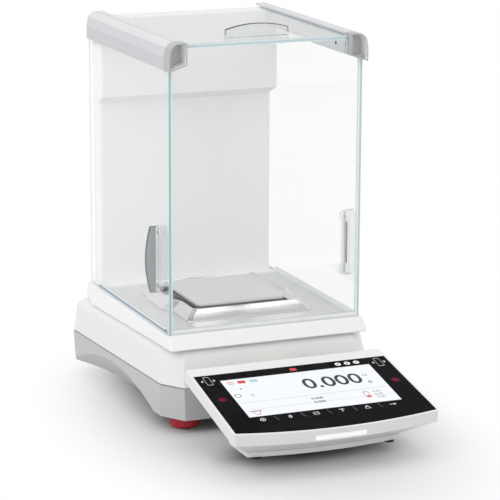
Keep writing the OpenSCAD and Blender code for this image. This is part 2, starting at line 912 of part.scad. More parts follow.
module cal_lifter() {
    color(aluminium) difference() {
        union() {
            post(cal_x, cal_y, cal_plate_z - 5, cal_plate_z + cal_plate_t, cal_hub_d);
            box(-cal_plate_in, cal_x, cal_y - cal_plate_half, cal_y + cal_plate_half,
                cal_plate_z, cal_plate_z + cal_plate_t);
        }
        post(cal_x, cal_y, 0, deck_z, cal_screw_d + 2 * run_gap);
        box(-cal_slot_x, cal_slot_x, cal_y - cal_slot_in, cal_y + deep, 0, deck_z);
    }
}

module cal_weight() {
    z0 = cal_plate_z + cal_plate_t;
    color(steel) difference() {
        post(0, cal_y, z0, z0 + cal_weight_h, cal_weight_d);
        translate([0, cal_y, z0 + cal_weight_h / 2]) rotate_extrude()
            translate([cal_weight_d / 2 - 1.5, -1.5]) square([3, 3]);
    }
}

// Draft shield

function frame_low() = both_sides([
    [frame_front_w / 2 - frame_corner, -frame_front],
    [frame_front_w / 2, -frame_front + frame_corner],
    [frame_w / 2, frame_wide_y],
    [frame_rear_x, frame_rear]]);

function frame_high() = both_sides([
    [frame_front_w / 2 - 2 * frame_corner, -frame_top_front],
    [frame_front_w / 2, -frame_top_front + 2 * frame_corner],
    [frame_front_w / 2, frame_wide_y],
    [frame_front_w / 2, frame_rear]]);

module shield_frame() {
    color(white_plastic) difference() {
        loft([lift(frame_low(), frame_z), lift(frame_high(), frame_top_z)]);
        box(-plate_w / 2 + plate_ledge, plate_w / 2 - plate_ledge, -frame_in_y,
            plate_rear - plate_ledge, 0, deep * 2);
        box(-plate_w / 2 - fit_gap, plate_w / 2 + fit_gap, -plate_front - fit_gap,
            plate_rear + fit_gap, plate_z, deep * 2);
        box(-glass_w / 2 - fit_gap, glass_w / 2 + fit_gap, -glass_front - fit_gap,
            -glass_front + glass_t + fit_gap, glass_foot_z, deep * 2);
        for (s = [-1, 1])
            mirror([s < 0 ? 1 : 0, 0, 0])
                box(side_in - slide_gap, side_out + slide_gap, -glass_front - slide_gap,
                    frame_rear + deep, frame_top_z - groove_depth, deep * 2);
    }
}

module floor_plate() {
    color(steel) difference() {
        box(-plate_w / 2, plate_w / 2, -plate_front, plate_rear, plate_z, plate_top_z);
        post(0, 0, 0, deep * 2, spindle_hole_d);
    }
}

// Outline of the wind ring, drawn in by a given amount
function ring_outline(inset) =
    let (x = ring_w / 2 - inset, y = ring_d / 2 - inset, c = ring_corner,
        bulge_y0 = -ring_d / 2 + bulge_front, bulge_y1 = ring_d / 2 - bulge_rear)
    both_sides([[x - c, -y], [x, -y + c], [x, bulge_y0], [x + ring_bulge, bulge_y0 + bulge_ease],
        [x + ring_bulge, bulge_y1 - bulge_ease], [x, bulge_y1], [x, y - c], [x - c, y]]);

module wind_ring() {
    under_lip = ring_lean * (ring_h - ring_lip_t) / ring_h + ring_t;
    color(steel) loft_ring([
        lift(ring_outline(0), ring_z),
        lift(ring_outline(ring_lean), ring_top_z),
        lift(ring_outline(ring_lean + ring_lip), ring_top_z),
        lift(ring_outline(ring_lean + ring_lip), ring_top_z - ring_lip_t),
        lift(ring_outline(under_lip), ring_top_z - ring_lip_t),
        lift(ring_outline(ring_t), ring_z)]);
}

module weighing_pan() {
    color(steel) difference() {
        translate([0, 0, pan_z - pan_skirt]) linear_extrude(pan_skirt)
            rounded_plate(pan_side, pan_side, pan_r);
        translate([0, 0, pan_z - pan_skirt - bite]) linear_extrude(pan_skirt + bite - pan_t)
            rounded_plate(pan_side - 2 * pan_t, pan_side - 2 * pan_t, pan_r - pan_t);
    }
}

module front_glass() {
    notch_x = rail_in - fit_gap;
    edge_z = rail_under(glass_w / 2) - fit_gap;
    notch_z = rail_under(notch_x) - fit_gap;
    color(clear_glass) translate([0, -glass_front + glass_t, 0]) rotate([90, 0, 0])
        linear_extrude(glass_t) polygon([[-glass_w / 2, glass_foot_z], [glass_w / 2, glass_foot_z],
            [glass_w / 2, edge_z], [notch_x, notch_z], [notch_x, glass_top_z],
            [-notch_x, glass_top_z], [-notch_x, notch_z], [-glass_w / 2, edge_z]]);
}

module side_door_glass() {
    color(clear_glass) difference() {
        box(side_in, side_out, -glass_front, door_rear, door_low_z, door_high_z);
        for (s = [-1, 1])
            translate([side_in - 1, -handle_y, handle_z + s * stud_spread / 2])
                rotate([0, 90, 0]) cylinder(h = door_t + 2, d = stud_d + 2 * fit_gap);
    }
}

module top_door_glass() {
    corner_y = -rail_front + slide_gap;
    color(clear_glass) difference() {
        translate([0, 0, top_door_z]) linear_extrude(door_t) polygon([
            [-rail_in + slide_gap, -glass_front], [rail_in - slide_gap, -glass_front],
            [rail_in - slide_gap, corner_y], [top_door_x, corner_y], [top_door_x, top_door_rear],
            [-top_door_x, top_door_rear], [-top_door_x, corner_y],
            [-rail_in + slide_gap, corner_y]]);
        for (s = [-1, 1])
            post(s * stud_spread / 2, -top_handle_y, 0, rail_top_z + deep, stud_d + 2 * fit_gap);
    }
}

// Blade with an arched edge: length along X, reach along +Z, foot on Z = 0
module handle_blade() {
    arc_r = (handle_len * handle_len / 4 + handle_arch * handle_arch) / (2 * handle_arch);
    reach = handle_end + handle_arch;
    intersection() {
        translate([-handle_len / 2, -blade_t / 2, 0]) cube([handle_len, blade_t, reach]);
        translate([0, deep, reach - arc_r]) rotate([90, 0, 0])
            cylinder(h = 2 * deep, r = arc_r, $fn = 160);
    }
    translate([-handle_len / 2, -bar_w / 2, 0]) cube([handle_len, bar_w, bar_t]);
}

// Clear clamp inside the glass: two bosses, a bar and the studs that cross the glass
module handle_clamp_shape(glass) {
    translate([-handle_len / 2, -bar_w / 2, -clamp_t]) cube([handle_len, bar_w, clamp_t]);
    for (s = [-1, 1]) translate([s * stud_spread / 2, 0, 0]) {
        translate([0, 0, -clamp_boss_h]) cylinder(h = clamp_boss_h, d = clamp_boss_d);
        translate([0, 0, -bite]) cylinder(h = glass + bite, d = stud_d);
    }
}

// Puts a handle's own axes onto the right door
module on_right_door(x) {
    translate([x, -handle_y, handle_z]) rotate([0, 90, 0]) children();
}

module left_door_glass() { mirror([1, 0, 0]) side_door_glass(); }

module right_door_glass() { side_door_glass(); }

module left_door_handle() {
    color(grey_clear) mirror([1, 0, 0]) on_right_door(side_out) handle_blade();
}

module right_door_handle() {
    color(grey_clear) on_right_door(side_out) handle_blade();
}

module top_door_handle() {
    color(grey_clear) translate([0, -top_handle_y, top_door_top_z]) handle_blade();
}

module left_handle_clamp() {
    color(clear_glass) mirror([1, 0, 0]) on_right_door(side_in) handle_clamp_shape(door_t);
}

module right_handle_clamp() {
    color(clear_glass) on_right_door(side_in) handle_clamp_shape(door_t);
}

module top_handle_clamp() {
    color(clear_glass) translate([0, -top_handle_y, top_door_z]) handle_clamp_shape(door_t);
}

// Height of a rail's sloping underside at a distance from the middle plane
function rail_under(x) = rail_z + rail_slope * (rail_out - x) / rail_w;

// Outline of the right rail in X and Z, drawn in by a given amount
function rail_outline(inset) = [
    [rail_in + inset, rail_under(rail_in + inset) + inset],
    [rail_out - inset, rail_under(rail_out - inset) + inset],
    [rail_out - inset, rail_z + rail_band],
    [rail_out - rail_lean - inset, rail_top_z - rail_bevel_z - inset / 2],
    [rail_out - rail_bevel_x - inset / 2, rail_top_z - inset],
    [rail_in + inset, rail_top_z - inset]];

// Section of the right rail, drawn in X and Z
module rail_section() {
    hollow_z = rail_z + rail_slope + rail_wall;
    difference() {
        polygon(rail_outline(0));
        translate([side_in - slide_gap, rail_z - 1])
            square([door_t + 2 * slide_gap, rail_groove + 1]);
        translate([rail_in - 1, top_door_z - slide_gap])
            square([top_groove + 1, door_t + 2 * slide_gap]);
        translate([rail_in + rail_wall, hollow_z])
            square([side_in - slide_gap - rail_in - 2 * rail_wall,
                top_door_z - slide_gap - rail_wall - hollow_z]);
    }
}

// Extrudes a section in X and Z forwards from a depth, over a length
module forwards(from_y, length) {
    translate([0, from_y, 0]) rotate([90, 0, 0]) linear_extrude(length) children();
}

module right_rail_shape() { forwards(rail_rear, rail_rear + rail_front) rail_section(); }

module left_rail() { color(white_plastic) mirror([1, 0, 0]) right_rail_shape(); }

module right_rail() { color(white_plastic) right_rail_shape(); }

module rail_front_caps() {
    pocket_wall = 1.2;
    sleeve_x = side_in - slide_gap - pocket_wall;
    sleeve_top_z = rail_z + rail_groove + pocket_wall;
    sleeve_len = glass_front + slide_gap + pocket_wall - rail_front - bite;
    color(white_plastic) for (s = [-1, 1]) mirror([s < 0 ? 1 : 0, 0, 0]) difference() {
        union() {
            difference() {
                forwards(-rail_front, cap_len) polygon(rail_outline(0));
                forwards(-rail_front - pocket_wall, cap_len) polygon(rail_outline(pocket_wall));
            }
            forwards(-rail_front - bite, sleeve_len) polygon([
                [sleeve_x, rail_under(sleeve_x) + bite], [rail_out - bite, rail_z + 2 * bite],
                [rail_out - bite, sleeve_top_z], [sleeve_x, sleeve_top_z]]);
        }
        box(side_in - slide_gap, side_out + slide_gap, -glass_front - slide_gap, -rail_front + 1,
            rail_z - 1, rail_z + rail_groove);
    }
}

// Outline of the column in X and Y, drawn in by a given amount
function column_layer(half, front, inset, z) = [
    [-half + inset, front + inset, z], [half - inset, front + inset, z],
    [half - inset, column_rear - cover_plate_t, z], [-half + inset, column_rear - cover_plate_t, z]];

module column_solid(inset, low_z, high_z) {
    loft([column_layer(column_w / 2, column_front, inset, low_z),
        column_layer(column_w / 2, column_front, inset, ledge_z),
        column_layer(block_x, block_front, inset, ledge_z + ledge_rise),
        column_layer(block_x, block_front, inset, high_z)]);
}

// Space that the right rail takes out of the column
module rail_room() {
    in_x = rail_in - fit_gap;
    out_x = rail_out + 1;
    forwards(deep * 3, deep * 3) polygon([[in_x, rail_under(in_x)], [out_x, rail_under(out_x)],
        [out_x, rail_top_z + deep], [in_x, rail_top_z + deep]]);
}

module rear_column() {
    column_top_z = glass_top_z;
    wall_x = rail_in - fit_gap - column_wall;
    roof_z = rail_z - column_wall;
    color(white_plastic) difference() {
        union() {
            difference() {
                column_solid(0, frame_top_z, column_top_z);
                translate([0, bite, 0]) column_solid(column_wall, frame_top_z + column_wall,
                    column_top_z - column_wall);
            }
            for (s = [-1, 1]) mirror([s < 0 ? 1 : 0, 0, 0]) {
                box(wall_x, block_x - bite, block_front + bite, column_rear - cover_plate_t, roof_z,
                    rail_z + rail_slope + 1);
                box(wall_x, wall_x + column_wall + 1, block_front + bite,
                    column_rear - cover_plate_t, roof_z, column_top_z - bite);
            }
        }
        for (s = [-1, 1]) mirror([s < 0 ? 1 : 0, 0, 0]) rail_room();
    }
}

module column_rear_cover() {
    x1 = column_w / 2;
    x2 = rail_in - fit_gap;
    z1 = rail_under(x1) - fit_gap;
    z2 = rail_under(x2) - fit_gap;
    color(white_plastic) translate([0, column_rear, 0]) rotate([90, 0, 0])
        linear_extrude(cover_plate_t) polygon([[-x1, frame_top_z], [x1, frame_top_z],
            [x1, z1], [x2, z2], [x2, glass_top_z], [-x2, glass_top_z], [-x2, z2], [-x1, z1]]);
}

// Terminal: X across, Y up the tilt from the rear edge of the touch glass, Z off its face

module on_terminal() {
    translate([0, -term_back, term_z]) rotate([tilt, 0, 0]) children();
}

// Outline of the touch glass, grown by a given amount and drawn back behind it
function touch_outline(grow, back) =
    let (half_back = touch_w / 2 + grow, half_front = (touch_w + touch_flare) / 2 + grow)
    concat([[half_back, back], [-half_back, back]],
        [for (i = [0:bow_steps]) let (t = 2 * i / bow_steps - 1)
            [t * half_front, -touch_d - grow - touch_bow * (1 - t * t)]]);

module touch_glass() {
    color(black_glass) on_terminal() translate([0, 0, -touch_t]) linear_extrude(touch_t)
        polygon(touch_outline(0, 0));
}

module terminal_top_shell() {
    light_low = bar_mid_w - light_h / 2;
    color(white_plastic) on_terminal() difference() {
        translate([0, 0, -shell_h]) linear_extrude(shell_h)
            polygon(touch_outline(rim_w, shell_back));
        translate([0, 0, -touch_t]) linear_extrude(deep) polygon(touch_outline(fit_gap, fit_gap));
        translate([0, 0, -shell_h - 1]) linear_extrude(shell_h + 1 - touch_t - shell_wall)
            polygon(touch_outline(rim_w - shell_wall, shell_back - shell_wall));
        translate([0, 0, -shell_h - 1]) linear_extrude(shell_h + deep)
            polygon(touch_outline(-bed_w, -bed_w));
        translate([-light_w / 2 - fit_gap, -touch_d - touch_bow - deep, light_low - fit_gap])
            cube([light_w + 2 * fit_gap, deep + 6, light_h + 2 * fit_gap]);
    }
}

// Point of the terminal's tilted axes in the balance's axes
function on_tilt(p, off) = [p[0],
    -term_back + p[1] * cos(tilt) - off * sin(tilt),
    term_z + p[1] * sin(tilt) + off * cos(tilt)];

// Level outline of the lower shell, with the same count of points as the touch outline
function under_outline(half, front, back, bow) = concat([[half, -back], [-half, -back]],
    [for (i = [0:bow_steps]) let (t = 2 * i / bow_steps - 1)
        [t * half, -front + bow * t * t]]);

function under_top(inset, raise) =
    [for (p = touch_outline(rim_w - inset, shell_back - inset)) on_tilt(p, raise - shell_h)];

module terminal_under(inset, low_z, raise) {
    loft([lift(under_outline(under_x - inset, under_front - inset, under_back + inset, under_bow),
            low_z),
        lift(under_outline(lip_x - inset, lip_front - inset, under_back + inset, lip_bow), lip_z),
        under_top(shell_step + inset, raise)]);
}

module terminal_bottom_shell() {
    color(grey_plastic) difference() {
        terminal_under(0, term_under_z, 0);
        terminal_under(shell_wall, term_under_z + shell_wall, bite);
        for (s = [-1, 1])
            post(s * bracket_screw_x, bracket_screw_term_y, 0, term_z, screw_d + 2 * run_gap);
    }
}

module display_panel() {
    color(dark_plastic) on_terminal()
        translate([-display_w / 2, -display_d - 10, -touch_t - 6]) cube([display_w, display_d, 6]);
}

module terminal_board() {
    color(board_green) on_terminal()
        translate([-display_w / 2 + 12, -display_d - 2, -touch_t - 6 - 1.6])
            cube([display_w - 24, display_d - 16, 1.6]);
}

// Band of the front wall between two distances from the touch glass, about the light bar
module front_band(outer, inner, half_w, half_h) {
    intersection() {
        translate([0, 0, bar_mid_w - half_h]) linear_extrude(2 * half_h) difference() {
            polygon(touch_outline(outer, 0));
            polygon(touch_outline(inner, 1));
        }
        translate([-half_w, -touch_d - touch_bow - deep, -deep])
            cube([2 * half_w, deep + touch_bow, 2 * deep]);
    }
}

module light_bar() {
    back = rim_w - shell_wall;
    color("white") on_terminal() {
        front_band(rim_w, back - bite, light_w / 2, light_h / 2);
        front_band(back, back - light_flange_t, light_w / 2 + light_flange,
            light_h / 2 + light_flange);
    }
}

module ir_sensors() {
    color("darkred") on_terminal() for (s = [-1, 1])
        translate([s * ir_x, -ir_down, -touch_t - ir_t]) cylinder(h = ir_t, d = ir_d);
}

module terminal_feet() {
    color(dark_plastic) for (s = [-1, 1], y = [under_front - foot_disc_in, under_back + foot_disc_in])
        post(s * (under_x - foot_disc_in), -y, term_under_z - foot_disc_t, term_under_z, foot_disc_d);
}

module terminal_bracket() {
    step_y = -(base_front + bracket_step);
    color(steel) difference() {
        union() {
            box(-bracket_x, bracket_x, -bracket_front, step_y, bracket_low_z, term_under_z);
            box(-bracket_x, bracket_x, step_y - bracket_t, step_y, bracket_low_z, underside_z);
            box(-bracket_x, bracket_x, step_y - bracket_t, -bracket_rear,
                underside_z - bracket_t, underside_z);
        }
        for (s = [-1, 1], y = [bracket_screw_base_y, bracket_screw_term_y])
            post(s * bracket_screw_x, y, 0, term_z, screw_d + 2 * fit_gap);
    }
}

module bracket_screws() {
    color(steel) for (s = [-1, 1]) {
        post(s * bracket_screw_x, bracket_screw_base_y, underside_z - bracket_t - bracket_head_h,
            underside_z - bracket_t, screw_head_d);
        post(s * bracket_screw_x, bracket_screw_base_y, underside_z - bracket_t - bite, floor_z,
            screw_d);
        post(s * bracket_screw_x, bracket_screw_term_y, bracket_low_z - bracket_head_h,
            bracket_low_z, screw_head_d);
        post(s * bracket_screw_x, bracket_screw_term_y, bracket_low_z - bite,
            term_under_z + shell_wall, screw_d);
    }
}

placed() bottom_casing();
placed() top_housing();
placed() base_chassis();
placed() casing_screws();
placed() foot_inserts();
placed() foot_wheel(foot_places[0]);  // foot_wheel_front_left
placed() foot_wheel(foot_places[1]);  // foot_wheel_front_right
placed() foot_wheel(foot_places[2]);  // foot_wheel_rear_left
placed() foot_wheel(foot_places[3]);  // foot_wheel_rear_right
placed() foot_pad(foot_places[0]);  // foot_pad_front_left
placed() foot_pad(foot_places[1]);  // foot_pad_front_right
placed() foot_pad(foot_places[2]);  // foot_pad_rear_left
placed() foot_pad(foot_places[3]);  // foot_pad_rear_right
placed() hook_cover();
placed() hook_cover_screw();
placed() rear_port_panel();
placed() power_socket();
placed() usb_sockets();
placed() serial_socket();
placed() main_board();
placed() spirit_level();
placed() weigh_cell_block();
placed() magnet_pot();
placed() force_coil();
placed() beam_lever();
placed() load_carrier();
placed() pan_support();
placed() cal_motor();
placed() cal_screw();
placed() cal_lifter();
placed() cal_weight();
placed() shield_frame();
placed() floor_plate();
placed() wind_ring();
placed() weighing_pan();
placed() front_glass();
placed() left_door_glass();
placed() right_door_glass();
placed() top_door_glass();
placed() left_door_handle();
placed() right_door_handle();
placed() top_door_handle();
placed() left_handle_clamp();
placed() right_handle_clamp();
placed() top_handle_clamp();
placed() left_rail();
placed() right_rail();
placed() rail_front_caps();
placed() rear_column();
placed() column_rear_cover();
placed() terminal_top_shell();
placed() terminal_bottom_shell();
placed() touch_glass();
placed() display_panel();
placed() terminal_board();
placed() light_bar();
placed() ir_sensors();
placed() terminal_feet();
placed() terminal_bracket();
placed() bracket_screws();
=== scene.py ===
"""Milligram balance with a glass draft shield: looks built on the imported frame."""
import logging
import math
from contextlib import contextmanager
from dataclasses import dataclass, field
from enum import Enum
from typing import Callable, Iterator, Mapping, Optional, Sequence, Union

import bmesh
import bpy
from mathutils import Matrix, Vector


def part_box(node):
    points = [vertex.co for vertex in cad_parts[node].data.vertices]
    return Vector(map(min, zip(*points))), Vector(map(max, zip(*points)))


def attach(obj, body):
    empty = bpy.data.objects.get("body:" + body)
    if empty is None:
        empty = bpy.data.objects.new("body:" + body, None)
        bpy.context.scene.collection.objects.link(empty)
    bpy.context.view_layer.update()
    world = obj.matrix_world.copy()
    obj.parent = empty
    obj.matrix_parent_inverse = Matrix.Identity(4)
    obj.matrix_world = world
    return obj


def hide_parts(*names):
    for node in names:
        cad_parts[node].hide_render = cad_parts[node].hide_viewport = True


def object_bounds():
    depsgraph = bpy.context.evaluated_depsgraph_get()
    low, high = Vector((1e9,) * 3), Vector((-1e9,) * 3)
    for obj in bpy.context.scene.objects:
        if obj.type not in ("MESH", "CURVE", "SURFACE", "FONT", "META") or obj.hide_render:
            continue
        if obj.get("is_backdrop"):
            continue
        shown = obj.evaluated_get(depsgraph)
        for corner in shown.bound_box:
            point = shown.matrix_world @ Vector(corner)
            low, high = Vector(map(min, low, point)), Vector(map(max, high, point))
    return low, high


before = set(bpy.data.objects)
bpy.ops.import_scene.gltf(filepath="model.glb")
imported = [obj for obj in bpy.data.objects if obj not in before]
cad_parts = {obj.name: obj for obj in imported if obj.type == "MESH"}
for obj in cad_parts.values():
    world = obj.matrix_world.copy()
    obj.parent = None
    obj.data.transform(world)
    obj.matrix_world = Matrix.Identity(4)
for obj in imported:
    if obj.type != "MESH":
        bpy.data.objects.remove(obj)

LOG = logging.getLogger("balance")
MM = 0.001
NEAR = 1e-6
# Largest share of a side that the rounding of a corner takes
CORNER_SHARE = 0.45
# A face looks along an axis when its normal's part on it is beyond this
FACING = 0.9

Piece = bpy.types.Object
Face = bpy.types.MeshPolygon
Socket = bpy.types.NodeSocket
Outline = list[Vector]
Point = tuple[float, float]
Triple = tuple[float, float, float]
Span = tuple[float, float, float, float]
Value = Union[Socket, float, Sequence[float]]
Inputs = Mapping[Union[str, int], Value]
Bands = Sequence[tuple[float, str]]

FOOT_PLACES = ("front_left", "front_right", "rear_left", "rear_right")
# Finish of each CAD node that is shown as it is
CARRIED: dict[str, Sequence[str]] = {
    "red_wheel": [f"foot_wheel_{place}" for place in FOOT_PLACES],
    "rubber": ["terminal_feet"] + [f"foot_pad_{place}" for place in FOOT_PLACES],
    "casing_grey": ["hook_cover"],
    "zinc_steel": ["casing_screws", "hook_cover_screw", "usb_sockets", "serial_socket",
                   "magnet_pot", "cal_screw", "terminal_bracket", "bracket_screws"],
    "dark_plastic": ["rear_port_panel", "power_socket", "cal_motor", "display_panel"],
    "turned_brass": ["foot_inserts"],
    "copper_wire": ["force_coil"],
    "polished_ring": ["cal_weight"],
    "circuit_board": ["main_board", "terminal_board"],
    "machined_aluminium": ["base_chassis", "weigh_cell_block", "beam_lever", "load_carrier",
                           "pan_support", "cal_lifter"],
    "brushed_plate": ["floor_plate"],
    "sensor_window": ["ir_sensors"],
}


def axis_y() -> float:
    """Finds where the weighing axis stands along the depth, in metres."""
    low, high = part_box("weighing_pan")
    return (low[1] + high[1]) / 2


AXIS_Y = axis_y()


def at(x: float, y: float, z: float) -> Vector:
    """Turns millimetres from the weighing axis and the bench into a point of the frame."""
    return Vector((x * MM, y * MM + AXIS_Y, z * MM))


def own(x: float, y: float, z: float) -> Vector:
    """Turns millimetres in a piece's own axes into a point in metres."""
    return Vector((x, y, z)) * MM


def level(outline: Sequence[Point], z: float) -> Outline:
    """Lays an outline of (x, y) points at one height."""
    return [at(x, y, z) for x, y in outline]


def upright(section: Sequence[Point], y: float) -> Outline:
    """Stands a section of (x, z) points at one depth."""
    return [at(x, y, z) for x, z in section]


def off_face(outline: Sequence[Point], off: float) -> Outline:
    """Lays an outline of (x, y) points at a distance off a piece's own face."""
    return [own(x, y, off) for x, y in outline]


def both_sides(right: Sequence[Point]) -> list[Point]:
    """Adds its mirror image to the right half of an outline, which runs front to rear."""
    return list(right) + [(-x, y) for x, y in reversed(right)]


def square(low: Point, high: Point) -> list[Point]:
    """Lists the four corners between two opposite ones, anticlockwise."""
    return [low, (high[0], low[1]), high, (low[0], high[1])]


def circle(x: float, y: float, radius: float, count: int = 28) -> list[Point]:
    """Lists evenly spaced points of a circle."""
    turns = [2 * math.pi * i / count for i in range(count)]
    return [(x + radius * math.cos(t), y + radius * math.sin(t)) for t in turns]


def rounded(outline: Sequence[Point], radius: float, steps: int = 4) -> list[Point]:
    """Rounds every corner of a convex outline.

    Args:
        outline: corners in order.
        radius: distance from a corner at which the rounding starts.
        steps: points less one that each corner becomes.

    Returns:
        The outline with rounded corners.
    """
    points: list[Point] = []
    count = len(outline)
    for i, corner in enumerate(outline):
        here = Vector(corner)
        before = Vector(outline[i - 1]) - here
        after = Vector(outline[(i + 1) % count]) - here
        reach = min(radius, before.length * CORNER_SHARE, after.length * CORNER_SHARE)
        start = here + before.normalized() * reach
        end = here + after.normalized() * reach
        for k in range(steps + 1):
            t = k / steps
            p = start * (1 - t) ** 2 + here * (2 * t * (1 - t)) + end * t ** 2
            points.append((p.x, p.y))
    return points


def drawn_in(outline: Sequence[Point], amount: float) -> list[Point]:
    """Moves every side of a convex outline inward.

    Args:
        outline: corners in order, anticlockwise.
        amount: how far each side moves.

    Returns:
        The corners of the smaller outline.
    """
    sides: list[tuple[Vector, Vector]] = []
    for here, there in zip(outline, list(outline[1:]) + [outline[0]]):
        run = (Vector(there) - Vector(here)).normalized()
        sides.append((Vector(here) + Vector((-run.y, run.x)) * amount, run))
    points: list[Point] = []
    for i, (q, v) in enumerate(sides):
        p, u = sides[i - 1]
        gap = q - p
        reach = (gap.x * v.y - gap.y * v.x) / (u.x * v.y - u.y * v.x)
        points.append((p.x + u.x * reach, p.y + u.y * reach))
    return points


class Axis(Enum):
    """Row axes, with their place in a vector."""

    X = 0
    Y = 1
    Z = 2


class Workbench:
    """Modelling steps that every sub-assembly shares. Widths and radii are in millimetres."""

    TURNS: dict[Axis, Triple] = {
        Axis.X: (0, math.pi / 2, 0), Axis.Y: (math.pi / 2, 0, 0), Axis.Z: (0, 0, 0)}

    @staticmethod
    def clear() -> None:
        """Goes to object mode with nothing selected."""
        if bpy.context.mode != "OBJECT":
            bpy.ops.object.mode_set(mode="OBJECT")
        bpy.ops.object.select_all(action="DESELECT")

    @staticmethod
    def hold(piece: Piece) -> None:
        """Makes one piece the only selected and active object.

        Args:
            piece: what is worked on next.
        """
        Workbench.clear()
        piece.select_set(True)
        bpy.context.view_layer.objects.active = piece

    @staticmethod
    @contextmanager
    def editing(piece: Piece, picked: str = "SELECT", mode: str = "VERT") -> Iterator[None]:
        """Opens a piece in edit mode for the length of a with block.

        Args:
            piece: what is edited.
            picked: SELECT to start with everything selected, DESELECT with nothing.
            mode: what is selected: VERT, EDGE or FACE.

        Returns:
            A context with nothing to hand over.
        """
        Workbench.hold(piece)
        bpy.ops.object.mode_set(mode="EDIT")
        bpy.ops.mesh.select_mode(type=mode)
        bpy.ops.mesh.select_all(action=picked)
        yield
        bpy.ops.mesh.select_mode(type="VERT")
        bpy.ops.object.mode_set(mode="OBJECT")

    @staticmethod
    def label(piece: Piece, name: str) -> None:
        """Names a piece and its mesh."""
        piece.name = name
        piece.data.name = name

    @staticmethod
    def named(name: str) -> Piece:
        """Names the object just added and puts its place into its mesh.

        Args:
            name: the new piece.

        Returns:
            The piece.
        """
        piece = bpy.context.object
        Workbench.label(piece, name)
        bpy.ops.object.transform_apply(location=True, rotation=True, scale=True)
        return piece

    @staticmethod
    def block(name: str, low: Vector, high: Vector) -> Piece:
        """Scales a cube to the box between two corners.

        Args:
            name: the new piece.
            low: the corner with the smallest coordinates, in metres.
            high: the opposite corner.

        Returns:
            The block.
        """
        Workbench.clear()
        bpy.ops.mesh.primitive_cube_add(size=1.0, location=(low + high) / 2)
        bpy.context.object.scale = high - low
        return Workbench.named(name)

    @staticmethod
    def barrel(name: str, centre: Vector, radius: float, length: float, axis: Axis = Axis.Z,
               sides: int = 48) -> Piece:
        """Adds a cylinder along one row axis.

        Args:
            name: the new piece.
            centre: its middle, in metres.
            radius: in millimetres.
            length: in millimetres.
            axis: the axis that it runs along.
            sides: how many flats it has.

        Returns:
            The cylinder.
        """
        Workbench.clear()
        bpy.ops.mesh.primitive_cylinder_add(
            vertices=sides, radius=radius * MM, depth=length * MM, location=centre,
            rotation=Workbench.TURNS[axis])
        return Workbench.named(name)

    @staticmethod
    def stack(name: str, layers: Sequence[Outline], filled: bool = True,
              closed: bool = False) -> Piece:
        """Extrudes a first outline through further ones with the same count of points.

        Args:
            name: the new piece.
            layers: outlines in order.
            filled: whether the first and last outlines carry a face.
            closed: whether the last outline is bridged back to the first.

        Returns:
            The new mesh object.
        """
        Workbench.clear()
        bpy.ops.mesh.primitive_circle_add(vertices=len(layers[0]), radius=1.0,
                                          fill_type="NGON" if filled else "NOTHING")
        piece = Workbench.named(name)
        corners = piece.data.attributes.new("corner", "INT", "POINT")
        for i, p in enumerate(layers[0]):
            piece.data.vertices[i].co = p
            corners.data[i].value = i
        with Workbench.editing(piece):
            for layer in layers[1:]:
                bpy.ops.mesh.extrude_region_move()
                Workbench.place(piece, layer)
            if closed:
                bpy.ops.mesh.select_all(action="DESELECT")
                bpy.ops.mesh.select_non_manifold()
                bpy.ops.mesh.bridge_edge_loops()
            bpy.ops.mesh.select_all(action="SELECT")
            bpy.ops.mesh.normals_make_consistent(inside=False)
        piece.data.attributes.remove(piece.data.attributes["corner"])
        return piece

    @staticmethod
    def place(piece: Piece, layer: Outline) -> None:
        """Puts the selected corners of a piece in edit mode onto an outline.

        Args:
            piece: what is shaped.
            layer: where each numbered corner goes.
        """
        mesh = bmesh.from_edit_mesh(piece.data)
        tag = mesh.verts.layers.int["corner"]
        for vert in mesh.verts:
            if vert.select:
                vert.co = layer[vert[tag]]
        bmesh.update_edit_mesh(piece.data)

    @staticmethod
    def bevel_where(piece: Piece, width: float, steps: int,
                    test: Callable[[Vector, Vector], bool]) -> None:
        """Rounds the edges whose two ends pass a test.

        Args:
            piece: what is shaped.
            width: bevel width in millimetres.
            steps: bevel segments.
            test: given both ends of an edge, says whether it is rounded.
        """
        with Workbench.editing(piece, "DESELECT", "EDGE"):
            mesh = bmesh.from_edit_mesh(piece.data)
            for edge in mesh.edges:
                edge.select = test(edge.verts[0].co, edge.verts[1].co)
            bmesh.update_edit_mesh(piece.data)
            bpy.ops.mesh.bevel(offset=width * MM, segments=steps, affect="EDGES",
                               clamp_overlap=True)

    @staticmethod
    def soften(piece: Piece, width: float, steps: int = 3, angle: float = 25.0) -> None:
        """Rounds every edge sharper than an angle.

        Args:
            piece: what is shaped.
            width: bevel width in millimetres.
            steps: bevel segments.
            angle: in degrees.
        """
        Workbench.hold(piece)
        bevel = piece.modifiers.new("soften", "BEVEL")
        bevel.width = width * MM
        bevel.segments = steps
        bevel.limit_method = "ANGLE"
        bevel.angle_limit = math.radians(angle)
        bevel.miter_outer = "MITER_ARC"
        bpy.ops.object.modifier_apply(modifier=bevel.name)

    @staticmethod
    def combine(piece: Piece, how: str, tools: Sequence[Piece]) -> None:
        """Applies tools to a piece with exact booleans and removes them.

        Args:
            piece: what is shaped.
            how: DIFFERENCE or UNION.
            tools: what is taken away or added, in order.
        """
        for tool in tools:
            Workbench.hold(piece)
            step = piece.modifiers.new("cut", "BOOLEAN")
            step.operation = how
            step.solver = "EXACT"
            step.object = tool
            bpy.ops.object.modifier_apply(modifier=step.name)
            bpy.data.objects.remove(tool, do_unlink=True)

    @staticmethod
    def cut(piece: Piece, *tools: Piece) -> None:
        """Takes tools away from a piece."""
        Workbench.combine(piece, "DIFFERENCE", tools)

    @staticmethod
    def weld(piece: Piece, *tools: Piece) -> None:
        """Joins tools to a piece as one solid."""
        Workbench.combine(piece, "UNION", tools)

